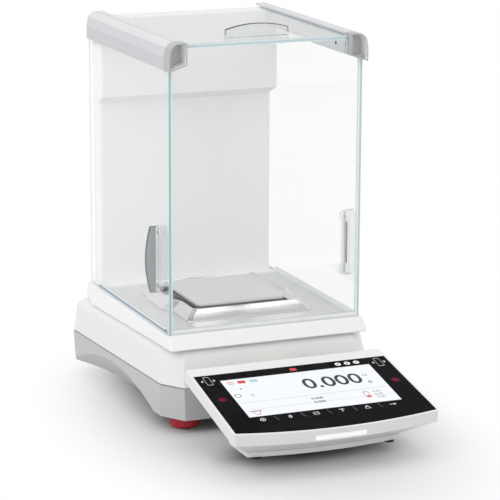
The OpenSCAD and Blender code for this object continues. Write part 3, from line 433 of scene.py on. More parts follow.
    @staticmethod
    def gather(name: str, pieces: Sequence[Piece]) -> Piece:
        """Joins several pieces into one object of loose shells.

        Args:
            name: the joined piece.
            pieces: what is joined.

        Returns:
            The joined piece.
        """
        Workbench.clear()
        for piece in pieces:
            piece.select_set(True)
        bpy.context.view_layer.objects.active = pieces[0]
        if len(pieces) > 1:
            bpy.ops.object.join()
        Workbench.label(pieces[0], name)
        return pieces[0]

    @staticmethod
    def swap_sides(piece: Piece) -> None:
        """Mirrors a piece across the middle plane, with its faces still pointing outward.

        Args:
            piece: what is mirrored.
        """
        piece.data.transform(Matrix.Scale(-1.0, 4, (1, 0, 0)))
        with Workbench.editing(piece):
            bpy.ops.mesh.flip_normals()

    @staticmethod
    def mirrored(piece: Piece, name: str) -> Piece:
        """Makes a copy with its own mesh on the other side of the middle plane.

        Args:
            piece: what is copied.
            name: the copy.

        Returns:
            The copy.
        """
        Workbench.hold(piece)
        bpy.ops.object.duplicate()
        copy = bpy.context.object
        Workbench.label(copy, name)
        Workbench.swap_sides(copy)
        return copy

    @staticmethod
    def split(piece: Piece, place: Vector, axis: Axis) -> None:
        """Splits a piece's faces along a plane, so that each part can have its own finish.

        Args:
            piece: what is split.
            place: a point on the plane.
            axis: the axis square to the plane.
        """
        normal = Vector((0.0, 0.0, 0.0))
        normal[axis.value] = 1.0
        with Workbench.editing(piece):
            bpy.ops.mesh.bisect(plane_co=place, plane_no=normal)

    @staticmethod
    def smooth(piece: Piece, angle: float = 35.0) -> None:
        """Shades a piece smooth, with flats kept flat.

        Args:
            piece: what is shaded.
            angle: in degrees, above which an edge stays sharp.
        """
        Workbench.hold(piece)
        bpy.ops.object.shade_smooth_by_angle(angle=math.radians(angle))
        weights = piece.modifiers.new("flats", "WEIGHTED_NORMAL")
        weights.keep_sharp = True
        bpy.ops.object.modifier_apply(modifier=weights.name)

    @staticmethod
    def deliver(piece: Piece, body: str, slot: str, material: bpy.types.Material,
                nodes: Sequence[str] = (), smooth: bool = True) -> None:
        """Dresses a finished piece, attaches it to the body it moves with and hides the CAD nodes it
        replaces.

        Args:
            piece: the finished mesh.
            body: the CAD body it moves with.
            slot: not used.
            material: its finish, unless the piece already has its own slots.
            nodes: the CAD nodes it replaces.
            smooth: whether to shade it smooth.
        """
        if smooth:
            Workbench.smooth(piece)
        if not piece.data.materials:
            piece.data.materials.append(material)
        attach(piece, body)
        if nodes:
            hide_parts(*nodes)
        LOG.info("%s on %s, %d faces", piece.name, body, len(piece.data.polygons))


class Wiring:
    """Adds shader nodes to a tree and feeds their inputs."""

    def __init__(self, tree: bpy.types.NodeTree) -> None:
        """Keeps the tree that is wired."""
        self.tree = tree

    def feed(self, node: bpy.types.Node, inputs: Inputs) -> None:
        """Links sockets to a node's inputs, or sets plain values.

        Args:
            node: what is fed.
            inputs: a socket or a value for each input, by name or number.
        """
        for key, value in inputs.items():
            if isinstance(value, Socket):
                self.tree.links.new(value, node.inputs[key])
            else:
                node.inputs[key].default_value = value

    def add(self, kind: str, inputs: Optional[Inputs] = None, **options: object) -> bpy.types.Node:
        """Adds a shader node.

        Args:
            kind: the node's type, without the words that all types begin with.
            inputs: what feeds it.
            options: its other settings by name.

        Returns:
            The node.
        """
        node = self.tree.nodes.new(f"ShaderNode{kind}")
        for name, option in options.items():
            setattr(node, name, option)
        self.feed(node, inputs or {})
        return node

    def math(self, operation: str, *values: Value) -> Socket:
        """Works out one number from others."""
        return self.add("Math", dict(enumerate(values)), operation=operation).outputs[0]

    def tinted(self, color: Value, factor: Socket) -> Socket:
        """Multiplies a colour by a factor."""
        node = self.add("VectorMath", {0: color, "Scale": factor}, operation="SCALE")
        return node.outputs["Vector"]

    def along(self, place: Socket, axis: Value) -> Socket:
        """Measures a place, or a direction, along an axis."""
        node = self.add("VectorMath", {0: place, 1: axis}, operation="DOT_PRODUCT")
        return node.outputs["Value"]

    def ramp(self, value: Socket, span: Span, how: str = "LINEAR") -> Socket:
        """Maps a range of values onto another.

        Args:
            value: what is mapped.
            span: where the range starts and ends, and what it gives at both ends.
            how: LINEAR or SMOOTHSTEP.

        Returns:
            The mapped value.
        """
        names = ("From Min", "From Max", "To Min", "To Max")
        inputs = {"Value": value, **dict(zip(names, span))}
        return self.add("MapRange", inputs, interpolation_type=how).outputs["Result"]

    def noise(self, **settings: Value) -> Socket:
        """Adds a noise texture, on the piece's own coordinates unless told otherwise."""
        inputs = {"Vector": self.place(), **settings}
        return self.add("TexNoise", inputs).outputs["Fac"]

    def place(self) -> Socket:
        """Gives the place on the piece, in metres."""
        return self.add("TexCoord").outputs["Object"]

    def seen(self) -> Socket:
        """Gives 1 for camera, glossy and transmission rays.

        Returns:
            The socket with that value.
        """
        rays = self.add("LightPath").outputs
        first = self.math("MAXIMUM", rays["Is Camera Ray"], rays["Is Glossy Ray"])
        return self.math("MAXIMUM", first, rays["Is Transmission Ray"])

    def mixed(self, factor: Socket, first: Socket, second: Socket) -> Socket:
        """Goes from a first shader to a second one with a factor."""
        return self.add("MixShader", {"Fac": factor, 1: first, 2: second}).outputs["Shader"]

    def finish(self, output: str, shader: Socket) -> None:
        """Makes a shader the surface of the tree's named output."""
        self.feed(self.tree.nodes[output], {"Surface": shader})


class Effect(Enum):
    """Which shared group varies a finish over its surface."""

    MOULDED = "moulded_grain"
    BRUSHED = "brushed_lines"
    HANDLED = "wiped_film"
    EDGE = "edge_tint_highlight"


class Groups:
    """Shader node groups that several finishes share."""

    KINDS: dict[str, str] = {"Color": "Color", "Rim": "Color", "Stretch": "Vector", "Axis": "Vector"}
    GRAIN_ROUGH: float = 0.10
    LINE_ROUGH: float = 0.22
    EDGE_ROUGH: float = 0.1
    EDGE_DARK: float = 0.3

    @staticmethod
    def start(effect: Effect, given: Sequence[str], made: Sequence[str]
              ) -> tuple[Wiring, Mapping[str, Socket], bpy.types.Node]:
        """Begins a group.

        Args:
            effect: what the group is for.
            given: names of its inputs.
            made: names of its outputs.

        Returns:
            The group's wiring, the sockets of its inputs and its output node.
        """
        tree = bpy.data.node_groups.new(effect.value, "ShaderNodeTree")
        for way, labels in (("INPUT", given), ("OUTPUT", made)):
            for label in labels:
                kind = f"NodeSocket{Groups.KINDS.get(label, 'Float')}"
                tree.interface.new_socket(name=label, in_out=way, socket_type=kind)
        source = tree.nodes.new("NodeGroupInput")
        return Wiring(tree), source.outputs, tree.nodes.new("NodeGroupOutput")

    @staticmethod
    def moulded() -> None:
        """Makes the fine texture of moulded or painted shells."""
        wires, given, sink = Groups.start(
            Effect.MOULDED, ("Color", "Spread", "Gloss", "Grain"), ("Color", "Roughness", "Height"))
        cloud = wires.noise(Scale=14.0, Detail=3.0)
        grain = wires.noise(Scale=given["Grain"], Detail=2.0)
        shade = wires.add("MapRange", {
            "Value": cloud, "To Min": wires.math("SUBTRACT", 1.0, given["Spread"]),
            "To Max": wires.math("ADD", 1.0, given["Spread"])})
        wires.feed(sink, {
            "Color": wires.tinted(given["Color"], shade.outputs["Result"]),
            "Roughness": wires.math("MULTIPLY_ADD", grain, Groups.GRAIN_ROUGH, given["Gloss"]),
            "Height": grain})

    @staticmethod
    def brushed() -> None:
        """Makes the fine parallel lines of brushed metal."""
        wires, given, sink = Groups.start(
            Effect.BRUSHED, ("Color", "Stretch", "Gloss", "Contrast"),
            ("Color", "Roughness", "Height"))
        turn = wires.add("VectorMath", {0: wires.place(), 1: given["Stretch"]},
                         operation="MULTIPLY")
        lines = wires.noise(Vector=turn.outputs["Vector"], Scale=1.0, Detail=4.0, Roughness=0.65)
        swing = wires.math("SUBTRACT", lines, 0.5)
        gain = wires.math("MULTIPLY_ADD", swing, given["Contrast"], 1.0)
        wires.feed(sink, {
            "Color": wires.tinted(given["Color"], gain),
            "Roughness": wires.math("MULTIPLY_ADD", lines, Groups.LINE_ROUGH, given["Gloss"]),
            "Height": lines})

    @staticmethod
    def handled() -> None:
        """Makes the faint film and dust on clear or glossy surfaces."""
        wires, given, sink = Groups.start(
            Effect.HANDLED, ("Color", "Spread", "Gloss", "Film"), ("Color", "Roughness"))
        film = wires.noise(Scale=22.0, Detail=5.0, Distortion=0.6)
        gain = wires.math("MULTIPLY_ADD", film, given["Spread"], 1.0)
        wires.feed(sink, {
            "Color": wires.tinted(given["Color"], gain),
            "Roughness": wires.math("MULTIPLY_ADD", film, given["Film"], given["Gloss"])})

    @staticmethod
    def glass_edge() -> None:
        """Makes a glass edge in the glass's green tint along the middle of its thickness, with a
        painted highlight towards both faces.
        """
        wires, given, sink = Groups.start(
            Effect.EDGE, ("Color", "Rim", "Axis", "Middle", "Half", "Gloss"), ("Color", "Roughness"))
        across = wires.along(wires.place(), given["Axis"])
        off = wires.math("ABSOLUTE", wires.math("SUBTRACT", across, given["Middle"]))
        share = wires.math("DIVIDE", off, given["Half"])
        ease = wires.ramp(share, (Groups.EDGE_DARK, 1.0, 0.0, 1.0), "SMOOTHSTEP")
        # A Mix node has several inputs of the same name, and its colours are numbers 6 and 7
        mix = wires.add("Mix", data_type="RGBA")
        wires.feed(mix, {"Factor": ease, 6: given["Color"], 7: given["Rim"]})
        wires.feed(sink, {
            "Color": mix.outputs[2],
            "Roughness": wires.math("MULTIPLY_ADD", ease, Groups.EDGE_ROUGH, given["Gloss"])})


@dataclass(frozen=True)
class Finish:
    """One surface finish.

    Colours are linear. grain is the moulded texture's scale, stretch the brushed lines' scale
    along X, Y and Z, and contrast how far either changes the colour. rim, axis, middle and half
    give a glass edge's painted highlight colour towards its faces, the axis across the pane, and
    the pane's place and half thickness on it. solid is the share of light that a plain see-through
    finish stops.
    """

    name: str
    color: Triple
    effect: Effect = Effect.MOULDED
    gloss: float = 0.35
    metal: float = 0.0
    contrast: float = 0.015
    grain: float = 1400.0
    bump: float = 0.04
    bump_height: float = 0.0002
    stretch: Triple = (20.0, 900.0, 900.0)
    film: float = 0.03
    rim: Triple = (0.8, 0.8, 0.8)
    axis: Triple = (1.0, 0.0, 0.0)
    middle: float = 0.0
    half: float = 0.0016
    spec: float = 0.5
    solid: float = 1.0
    clear: float = 0.0
    ior: float = 1.45
    coat: float = 0.0
    coat_gloss: float = 0.03
    glow: float = 0.0
    glow_color: Triple = (1.0, 1.0, 1.0)
    lets_light_by: bool = False
    light_tint: Triple = (0.97, 0.985, 0.985)

    def make(self) -> bpy.types.Material:
        """Makes the finish as a material with a Principled shader.

        Returns:
            The material.
        """
        material = bpy.data.materials.new(self.name)
        material.use_nodes = True
        material.diffuse_color = (*self.color, 1.0)
        wires = Wiring(material.node_tree)
        group = wires.add("Group", node_tree=bpy.data.node_groups[self.effect.value])
        given = {"Color": (*self.color, 1.0), "Gloss": self.gloss, "Spread": self.contrast,
                 "Contrast": self.contrast, "Grain": self.grain, "Stretch": self.stretch,
                 "Film": self.film, "Rim": (*self.rim, 1.0), "Axis": self.axis,
                 "Middle": self.middle, "Half": self.half}
        for socket in group.inputs:
            socket.default_value = given[socket.name]
        shader = material.node_tree.nodes["Principled BSDF"]
        wires.feed(shader, {
            "Base Color": group.outputs["Color"], "Roughness": group.outputs["Roughness"],
            "Metallic": self.metal, "Transmission Weight": self.clear, "IOR": self.ior,
            "Specular IOR Level": self.spec, "Alpha": self.solid, "Coat Weight": self.coat,
            "Coat Roughness": self.coat_gloss, "Emission Color": (*self.glow_color, 1.0),
            "Emission Strength": self.glow})
        if self.effect in (Effect.MOULDED, Effect.BRUSHED):
            bump = wires.add("Bump", {"Strength": self.bump, "Distance": self.bump_height,
                                      "Height": group.outputs["Height"]})
            wires.feed(shader, {"Normal": bump.outputs["Normal"]})
        if self.lets_light_by:
            self.pass_shadows(wires, shader)
        return material

    def pass_shadows(self, wires: Wiring, shader: bpy.types.Node) -> None:
        """Lets lamp light through a clear material instead of shading what is behind it.

        Args:
            wires: the material's wiring.
            shader: its Principled shader.
        """
        rays = wires.add("LightPath").outputs
        either = wires.math("MAXIMUM", rays["Is Shadow Ray"], rays["Is Diffuse Ray"])
        through = wires.add("BsdfTransparent", {"Color": (*self.light_tint, 1.0)})
        wires.finish("Material Output",
                     wires.mixed(either, shader.outputs["BSDF"], through.outputs["BSDF"]))


class Finishes:
    """The balance's finishes, made once."""

    ALL: tuple[Finish, ...] = (
        Finish("white_shell", (0.80, 0.80, 0.795), gloss=0.30),
        Finish("deck_white", (0.84, 0.84, 0.835), gloss=0.28),
        Finish("casing_grey", (0.53, 0.535, 0.545), gloss=0.34),
        Finish("rail_grey", (0.60, 0.61, 0.63), gloss=0.30),
        # rail_top is the rail's grey lightened, a painted light on its upward faces; the band finish
        # below is the grey darkened, a painted shade on the lower outer band
        Finish("rail_top", (0.65, 0.66, 0.67), gloss=0.30),
        Finish("rail_band", (0.54, 0.55, 0.57), gloss=0.30),
        Finish("cap_grey", (0.45, 0.455, 0.455), gloss=0.34),
        Finish("column_white", (0.96, 0.95, 0.945), gloss=0.38),
        Finish("terminal_white", (0.78, 0.78, 0.78), gloss=0.30),
        Finish("dark_plastic", (0.018, 0.018, 0.02), gloss=0.42, contrast=0.12),
        Finish("red_wheel", (0.46, 0.012, 0.022), gloss=0.22, contrast=0.05, coat=0.3),
        Finish("rubber", (0.02, 0.02, 0.02), gloss=0.72, contrast=0.15, bump=0.15),
        Finish("brushed_plate", (0.76, 0.76, 0.76), Effect.BRUSHED, gloss=0.22, metal=0.92,
               contrast=0.16, bump=0.03, stretch=(14.0, 1500.0, 400.0)),
        Finish("brushed_pan", (0.82, 0.82, 0.82), Effect.BRUSHED, gloss=0.20, metal=0.95,
               contrast=0.14, bump=0.03, stretch=(14.0, 1500.0, 400.0)),
        Finish("polished_ring", (0.80, 0.80, 0.80), Effect.BRUSHED, gloss=0.04, metal=1.0,
               contrast=0.04, bump=0.01, stretch=(60.0, 60.0, 900.0)),
        Finish("pan_edge", (0.80, 0.80, 0.80), Effect.BRUSHED, gloss=0.36, metal=0.45,
               contrast=0.04, stretch=(1.0, 1.0, 8.0)),
        # A darkened copy of the pan's metal: painted shade on the recessed lower side under the rim
        Finish("pan_skirt", (0.30, 0.30, 0.30), Effect.BRUSHED, gloss=0.30, metal=0.6,
               contrast=0.04, stretch=(1.0, 1.0, 8.0)),
        Finish("machined_aluminium", (0.56, 0.57, 0.58), Effect.BRUSHED, gloss=0.26, metal=1.0,
               contrast=0.25, bump=0.06, stretch=(700.0, 25.0, 700.0)),
        Finish("zinc_steel", (0.50, 0.50, 0.49), Effect.BRUSHED, gloss=0.26, metal=1.0,
               contrast=0.25, bump=0.05, stretch=(160.0, 160.0, 900.0)),
        Finish("turned_brass", (0.56, 0.36, 0.12), Effect.BRUSHED, gloss=0.22, metal=1.0,
               contrast=0.3, bump=0.06, stretch=(90.0, 90.0, 1400.0)),
        Finish("copper_wire", (0.50, 0.20, 0.08), Effect.BRUSHED, gloss=0.25, metal=1.0,
               contrast=0.6, bump=0.5, stretch=(20.0, 20.0, 2600.0)),
        Finish("pane_glass", (1.0, 1.0, 1.0), Effect.HANDLED, gloss=0.0, film=0.01,
               contrast=0.01, clear=1.0, ior=1.3, lets_light_by=True),
        # Bands at the feet of the clear panes, where they stand in the grooves: the pale one a
        # painted reflection, the blue and grey ones painted shade, the white one a painted highlight
        Finish("foot_reflection_pale", (0.72, 0.80, 0.84), Effect.HANDLED, gloss=0.15, film=0.05,
               contrast=0.1),
        Finish("foot_shade_blue", (0.22, 0.30, 0.36), Effect.HANDLED, gloss=0.15, film=0.05,
               contrast=0.1),
        Finish("foot_highlight_white", (0.86, 0.88, 0.89), Effect.HANDLED, gloss=0.15, film=0.05,
               contrast=0.05),
        Finish("foot_shade_grey", (0.70, 0.71, 0.71), Effect.HANDLED, gloss=0.2, film=0.05,
               contrast=0.05),
        # The edges' green tint is the glass's own; that the edges differ in brightness from pane to
        # pane, and their paler rims, are painted light and shade
        Finish("left_edge", (0.34, 0.54, 0.56), Effect.EDGE, gloss=0.1, rim=(0.85, 0.96, 0.97),
               middle=-0.0922),
        Finish("right_edge", (0.56, 0.65, 0.66), Effect.EDGE, gloss=0.1, rim=(0.90, 0.94, 0.94),
               middle=0.0923),
        Finish("rear_edge", (0.84, 0.88, 0.885), Effect.HANDLED, gloss=0.1, film=0.05,
               contrast=0.04),
        Finish("front_edge", (0.58, 0.73, 0.76), Effect.EDGE, gloss=0.1, rim=(0.84, 0.93, 0.95),
               axis=(0.0, 1.0, 0.0), middle=AXIS_Y - 0.098, half=0.002),
        Finish("lid_edge", (0.56, 0.69, 0.72), Effect.EDGE, gloss=0.1, rim=(0.85, 0.92, 0.93),
               axis=(0.0, 0.0, 1.0), middle=0.3463),
        Finish("clear_handle", (0.80, 0.81, 0.82), Effect.HANDLED, gloss=0.05, film=0.05,
               contrast=0.02, solid=0.22),
        Finish("clear_clamp", (0.86, 0.87, 0.88), Effect.HANDLED, gloss=0.05, film=0.05,
               contrast=0.02, solid=0.3),
        # The handles are clear; this grey is a painted dark reflection on the left blade and painted
        # shade at the right handle's foot, and the two dark finishes after it are painted shade on
        # edges and ends
        Finish("handle_grey_shade", (0.40, 0.41, 0.42), Effect.HANDLED, gloss=0.25, film=0.06,
               contrast=0.06),
        Finish("handle_shade", (0.14, 0.145, 0.15), Effect.HANDLED, gloss=0.2, film=0.06,
               contrast=0.10),
        Finish("handle_line_shade", (0.035, 0.037, 0.04), Effect.HANDLED, gloss=0.3, film=0.06,
               contrast=0.10),
        Finish("deep_shade", (0.012, 0.012, 0.013), gloss=0.6, spec=0.1),
        # Lit and shaded copies of the cap's plastic: a painted light on the pocket's sides and a
        # painted shade on the pocket's back wall
        Finish("cap_inside_lit", (0.95, 0.95, 0.95), gloss=0.34),
        Finish("cap_back_shade", (0.52, 0.525, 0.53), gloss=0.4),
        Finish("touch_black", (0.006, 0.006, 0.007), Effect.HANDLED, gloss=0.04, film=0.04,
               contrast=0.3, spec=0.015),
        Finish("screen_white", (0.70, 0.72, 0.735), Effect.HANDLED, gloss=0.12, film=0.04,
               contrast=0.02, glow=0.16, glow_color=(0.93, 0.96, 1.0)),
        Finish("ink_black", (0.012, 0.012, 0.014), Effect.HANDLED, gloss=0.2, film=0.05,
               contrast=0.2),
        Finish("ink_grey", (0.36, 0.37, 0.39), Effect.HANDLED, gloss=0.2, film=0.05, contrast=0.1),
        Finish("ink_red", (0.58, 0.02, 0.035), Effect.HANDLED, gloss=0.2, film=0.05, contrast=0.1,
               glow=0.05, glow_color=(0.9, 0.05, 0.08)),
        Finish("ink_cyan", (0.08, 0.42, 0.56), Effect.HANDLED, gloss=0.2, film=0.05, contrast=0.1),
        Finish("ink_white", (0.82, 0.82, 0.82), Effect.HANDLED, gloss=0.2, film=0.05,
               contrast=0.03, glow=0.05),
        Finish("sensor_glow", (0.03, 0.001, 0.006), Effect.HANDLED, gloss=0.2, film=0.05,
               contrast=0.4, glow=0.17, glow_color=(0.75, 0.01, 0.17), spec=0.05),
        Finish("sensor_window", (0.02, 0.002, 0.005), Effect.HANDLED, gloss=0.2, film=0.05,
               contrast=0.4, glow=0.03, glow_color=(0.7, 0.01, 0.15), spec=0.05),
        Finish("light_diffuser", (0.90, 0.905, 0.91), gloss=0.22, glow=0.22),
        Finish("circuit_board", (0.02, 0.11, 0.05), gloss=0.3, contrast=0.5, grain=300.0, bump=0.2),
        Finish("vial_liquid", (0.55, 0.75, 0.10), Effect.HANDLED, gloss=0.03, film=0.02,
               contrast=0.05, coat=0.5),
    )

    def __init__(self) -> None:
        """Builds the shared groups and every finish."""
        for group in (Groups.moulded, Groups.brushed, Groups.handled, Groups.glass_edge):
            group()
        self.made = {finish.name: finish.make() for finish in self.ALL}

    def __getitem__(self, name: str) -> bpy.types.Material:
        """Finds the material of a named finish."""
        return self.made[name]

    def dress_carried(self) -> None:
        """Gives the CAD nodes that are shown as they are their finishes."""
        for finish, nodes in CARRIED.items():
            for node in nodes:
                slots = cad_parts[node].data.materials
                slots.clear()
                slots.append(self.made[finish])

    def paint(self, piece: Piece, names: Sequence[str], choose: Callable[[Face], int]) -> None:
        """Gives a piece several finishes, chosen face by face.

        Args:
            piece: what is painted.
            names: the finishes in the order of their numbers.
            choose: given a face, says the number of its finish.
        """
        for name in names:
            piece.data.materials.append(self.made[name])
        for face in piece.data.polygons:
            face.material_index = choose(face)


@dataclass
class BaseHousing:
    """Lower casing with its scoops, and the upper housing with the shield's deck.

    Sizes are in millimetres from the weighing axis and the bench, as in the other classes.
    """

    finishes: Finishes
    front_half: float = 102.5
    rear_half: float = 115.0
    front: float = 122.5
    rear: float = 123.0
    cut_x: float = 15.0
    cut_y: float = 23.0
    rear_cut: float = 18.0
    under: float = 12.0
    seam: float = 42.5
    seam_gap: float = 0.8
    shoulder: float = 70.0
    deck: float = 75.0
    wall: float = 3.0
    lip: float = 1.5
    lip_gap: float = 0.2
    lip_rise: float = 2.0
    lip_root: float = 3.0
    casing_draft: float = 1.5
    casing_core: float = 17.0
    side_draft: float = 3.0
    front_draft: float = 10.0
    shoulder_run: float = 6.0
    shoulder_wall: float = 4.0
    shoulder_round: float = 4.2
    scoop_half: float = 98.0
    scoop_top: float = 34.5
    scoop_depth: float = 18.0
    scoop_y: float = -3.0
    scoop_sides: int = 320
    feet: tuple[Point, ...] = ((-78, -97), (78, -97), (-66, 96), (66, 96))
    foot_bore: float = 6.2
    hook_bore: float = 12.0
    hub_bore: float = 17.0
    port_low: Triple = (-46.2, 108.5, 18.8)
    port_high: Triple = (46.2, 140, 39.2)
    ledge_half: float = 12.0
    ledge_front: float = -137.3
    ledge_rear: float = -117.5
    ledge_rise: float = 2.2
    ledge_top: float = 54.0
    vial_y: float = -128.7
    vial_z: float = 50.9
    vial_radius: float = 7.0
    vial_height: float = 7.8
    vial_gap: float = 0.2
    mark_z: float = 54.83
    mark_radii: Point = (6.9, 3.2)
    mark_width: float = 0.5

    def outline(self, side: float, front: float, rear: float) -> list[Point]:
        """Draws in the base's outline of eight corners.

        Args:
            side: how far at the left and right.
            front: how far at the front.
            rear: how far at the rear.

        Returns:
            The corners.
        """
        return both_sides([
            (self.front_half - self.cut_x - side, -self.front + front),
            (self.front_half - side, -self.front + self.cut_y + front),
            (self.rear_half - side, self.rear - self.rear_cut - rear),
            (self.rear_half - self.rear_cut - side, self.rear - rear)])

    def layer(self, inset: float, z: float) -> Outline:
        """Lays the outline, drawn in evenly, at one height."""
        return level(self.outline(inset, inset, inset), z)

    def upper_layer(self, inset: float, z: float) -> Outline:
        """Lays the upper housing's outline, with its drafts and drawn in, at one height."""
        side = self.side_draft + inset
        return level(self.outline(side, self.front_draft + inset, side), z)

    def scoop(self, side: int) -> Piece:
        """Makes the leaning cylinder that hollows one side for the fingers.

        Args:
            side: -1 for the left, 1 for the right.

        Returns:
            The cylinder.
        """
        height = self.scoop_top - self.under
        slant = math.hypot(height, self.scoop_depth)
        rise = height * self.scoop_depth / slant
        radius = (self.scoop_half ** 2 + rise ** 2) / (2 * rise)
        lean = side * math.atan2(self.scoop_depth, height)
        share = (self.scoop_y + self.front - self.cut_y) / (
            self.front + self.rear - self.cut_y - self.rear_cut)
        wall_x = self.front_half + (self.rear_half - self.front_half) * share
        tool = Workbench.barrel("scoop_tool", Vector((0, 0, 0)), radius, 200,
                                sides=self.scoop_sides)
        tool.data.transform(Matrix.Translation(at(side * wall_x, self.scoop_y, self.scoop_top))
                            @ Matrix.Rotation(lean, 4, "Y")
                            @ Matrix.Translation((side * radius * MM, 0, 0)))
        return tool

    def build_casing(self) -> None:
        """Builds the lower casing, hollow, with scoops, foot holes and the port opening."""
        casing = Workbench.stack("lower_casing", [
            self.layer(self.casing_draft, self.under),
            self.layer(0, self.seam - self.seam_gap)])
        Workbench.cut(casing, self.scoop(-1), self.scoop(1))
        Workbench.soften(casing, 0.9, 3, 20)
        Workbench.weld(casing, Workbench.stack("collar", [
            self.layer(self.lip, self.seam - self.lip_root),
            self.layer(self.lip, self.seam + self.lip_rise)]))
        Workbench.cut(casing, Workbench.stack("hollow", [
            self.layer(self.casing_core, self.under + self.wall),
            self.layer(self.casing_core, self.seam - 8),
            self.layer(self.wall, self.seam - 6), self.layer(self.wall, self.seam + 4)]))
        for x, y in self.feet:
            Workbench.cut(casing, Workbench.barrel("hole", at(x, y, 20), self.foot_bore, 30))
        Workbench.cut(casing, Workbench.barrel("hole", at(0, 0, 13), self.hook_bore, 20),
                      Workbench.block("port", at(*self.port_low), at(*self.port_high)))
        Workbench.deliver(casing, "base", "grey_metal", self.finishes["casing_grey"],
                          ["bottom_casing"])

    def build_housing(self) -> None:
        """Builds the upper housing with its rounded shoulder and the ledge for the vial."""
        housing = Workbench.stack("upper_housing", [
            self.layer(0, self.seam), self.upper_layer(0, self.shoulder),
            self.upper_layer(self.shoulder_run, self.deck)])
        bends = (self.shoulder * MM, self.deck * MM)

        def is_bend(a: Vector, b: Vector) -> bool:
            """Says whether an edge runs level along the shoulder or the deck."""
            return abs(a.z - b.z) < NEAR and min(abs(a.z - z) for z in bends) < NEAR

        Workbench.bevel_where(housing, self.shoulder_round, 5, is_bend)
        Workbench.soften(housing, 1.1, 3, 22)
        ledge = Workbench.block(
            "ledge", at(-self.ledge_half, self.ledge_front, self.seam + self.ledge_rise),
            at(self.ledge_half, self.ledge_rear, self.ledge_top))
        Workbench.soften(ledge, 1.0)
        Workbench.weld(housing, ledge)
        inner = self.lip - self.lip_gap
        Workbench.cut(
            housing,
            Workbench.stack("hollow", [
                self.layer(inner, self.seam - 1), self.layer(inner, self.seam + self.lip_rise),
                self.layer(self.shoulder_wall, self.seam + self.lip_rise + 0.1),
                self.upper_layer(self.shoulder_wall, self.shoulder - self.shoulder_wall),
                self.upper_layer(self.shoulder_run + self.shoulder_wall, self.deck - self.wall)]),
            Workbench.barrel("hole", at(0, 0, self.deck), self.hub_bore, 20),
            Workbench.barrel("hole", at(0, self.vial_y, 52), self.vial_radius + self.vial_gap, 10))
        Workbench.deliver(housing, "base", "white_metal", self.finishes["white_shell"],
                          ["top_housing"])

    def build_level(self) -> None:
        """Builds the level vial with its two ring marks."""
        vial = Workbench.barrel("level_vial", at(0, self.vial_y, self.vial_z), self.vial_radius,
                                self.vial_height)
        Workbench.soften(vial, 0.8)
        Workbench.deliver(vial, "base", "clear_plastic", self.finishes["vial_liquid"],
                          ["spirit_level"])
        rings = [Workbench.stack("ring", [
            level(circle(0, self.vial_y, r, 40), self.mark_z)
            for r in (radius - self.mark_width, radius)], filled=False)
            for radius in self.mark_radii]
        Workbench.deliver(Workbench.gather("level_marks", rings), "base", "dark_plastic",
                          self.finishes["ink_black"], smooth=False)

    def build(self) -> None:
        """Builds both housings and the level vial."""
        self.build_casing()
        self.build_housing()
        self.build_level()


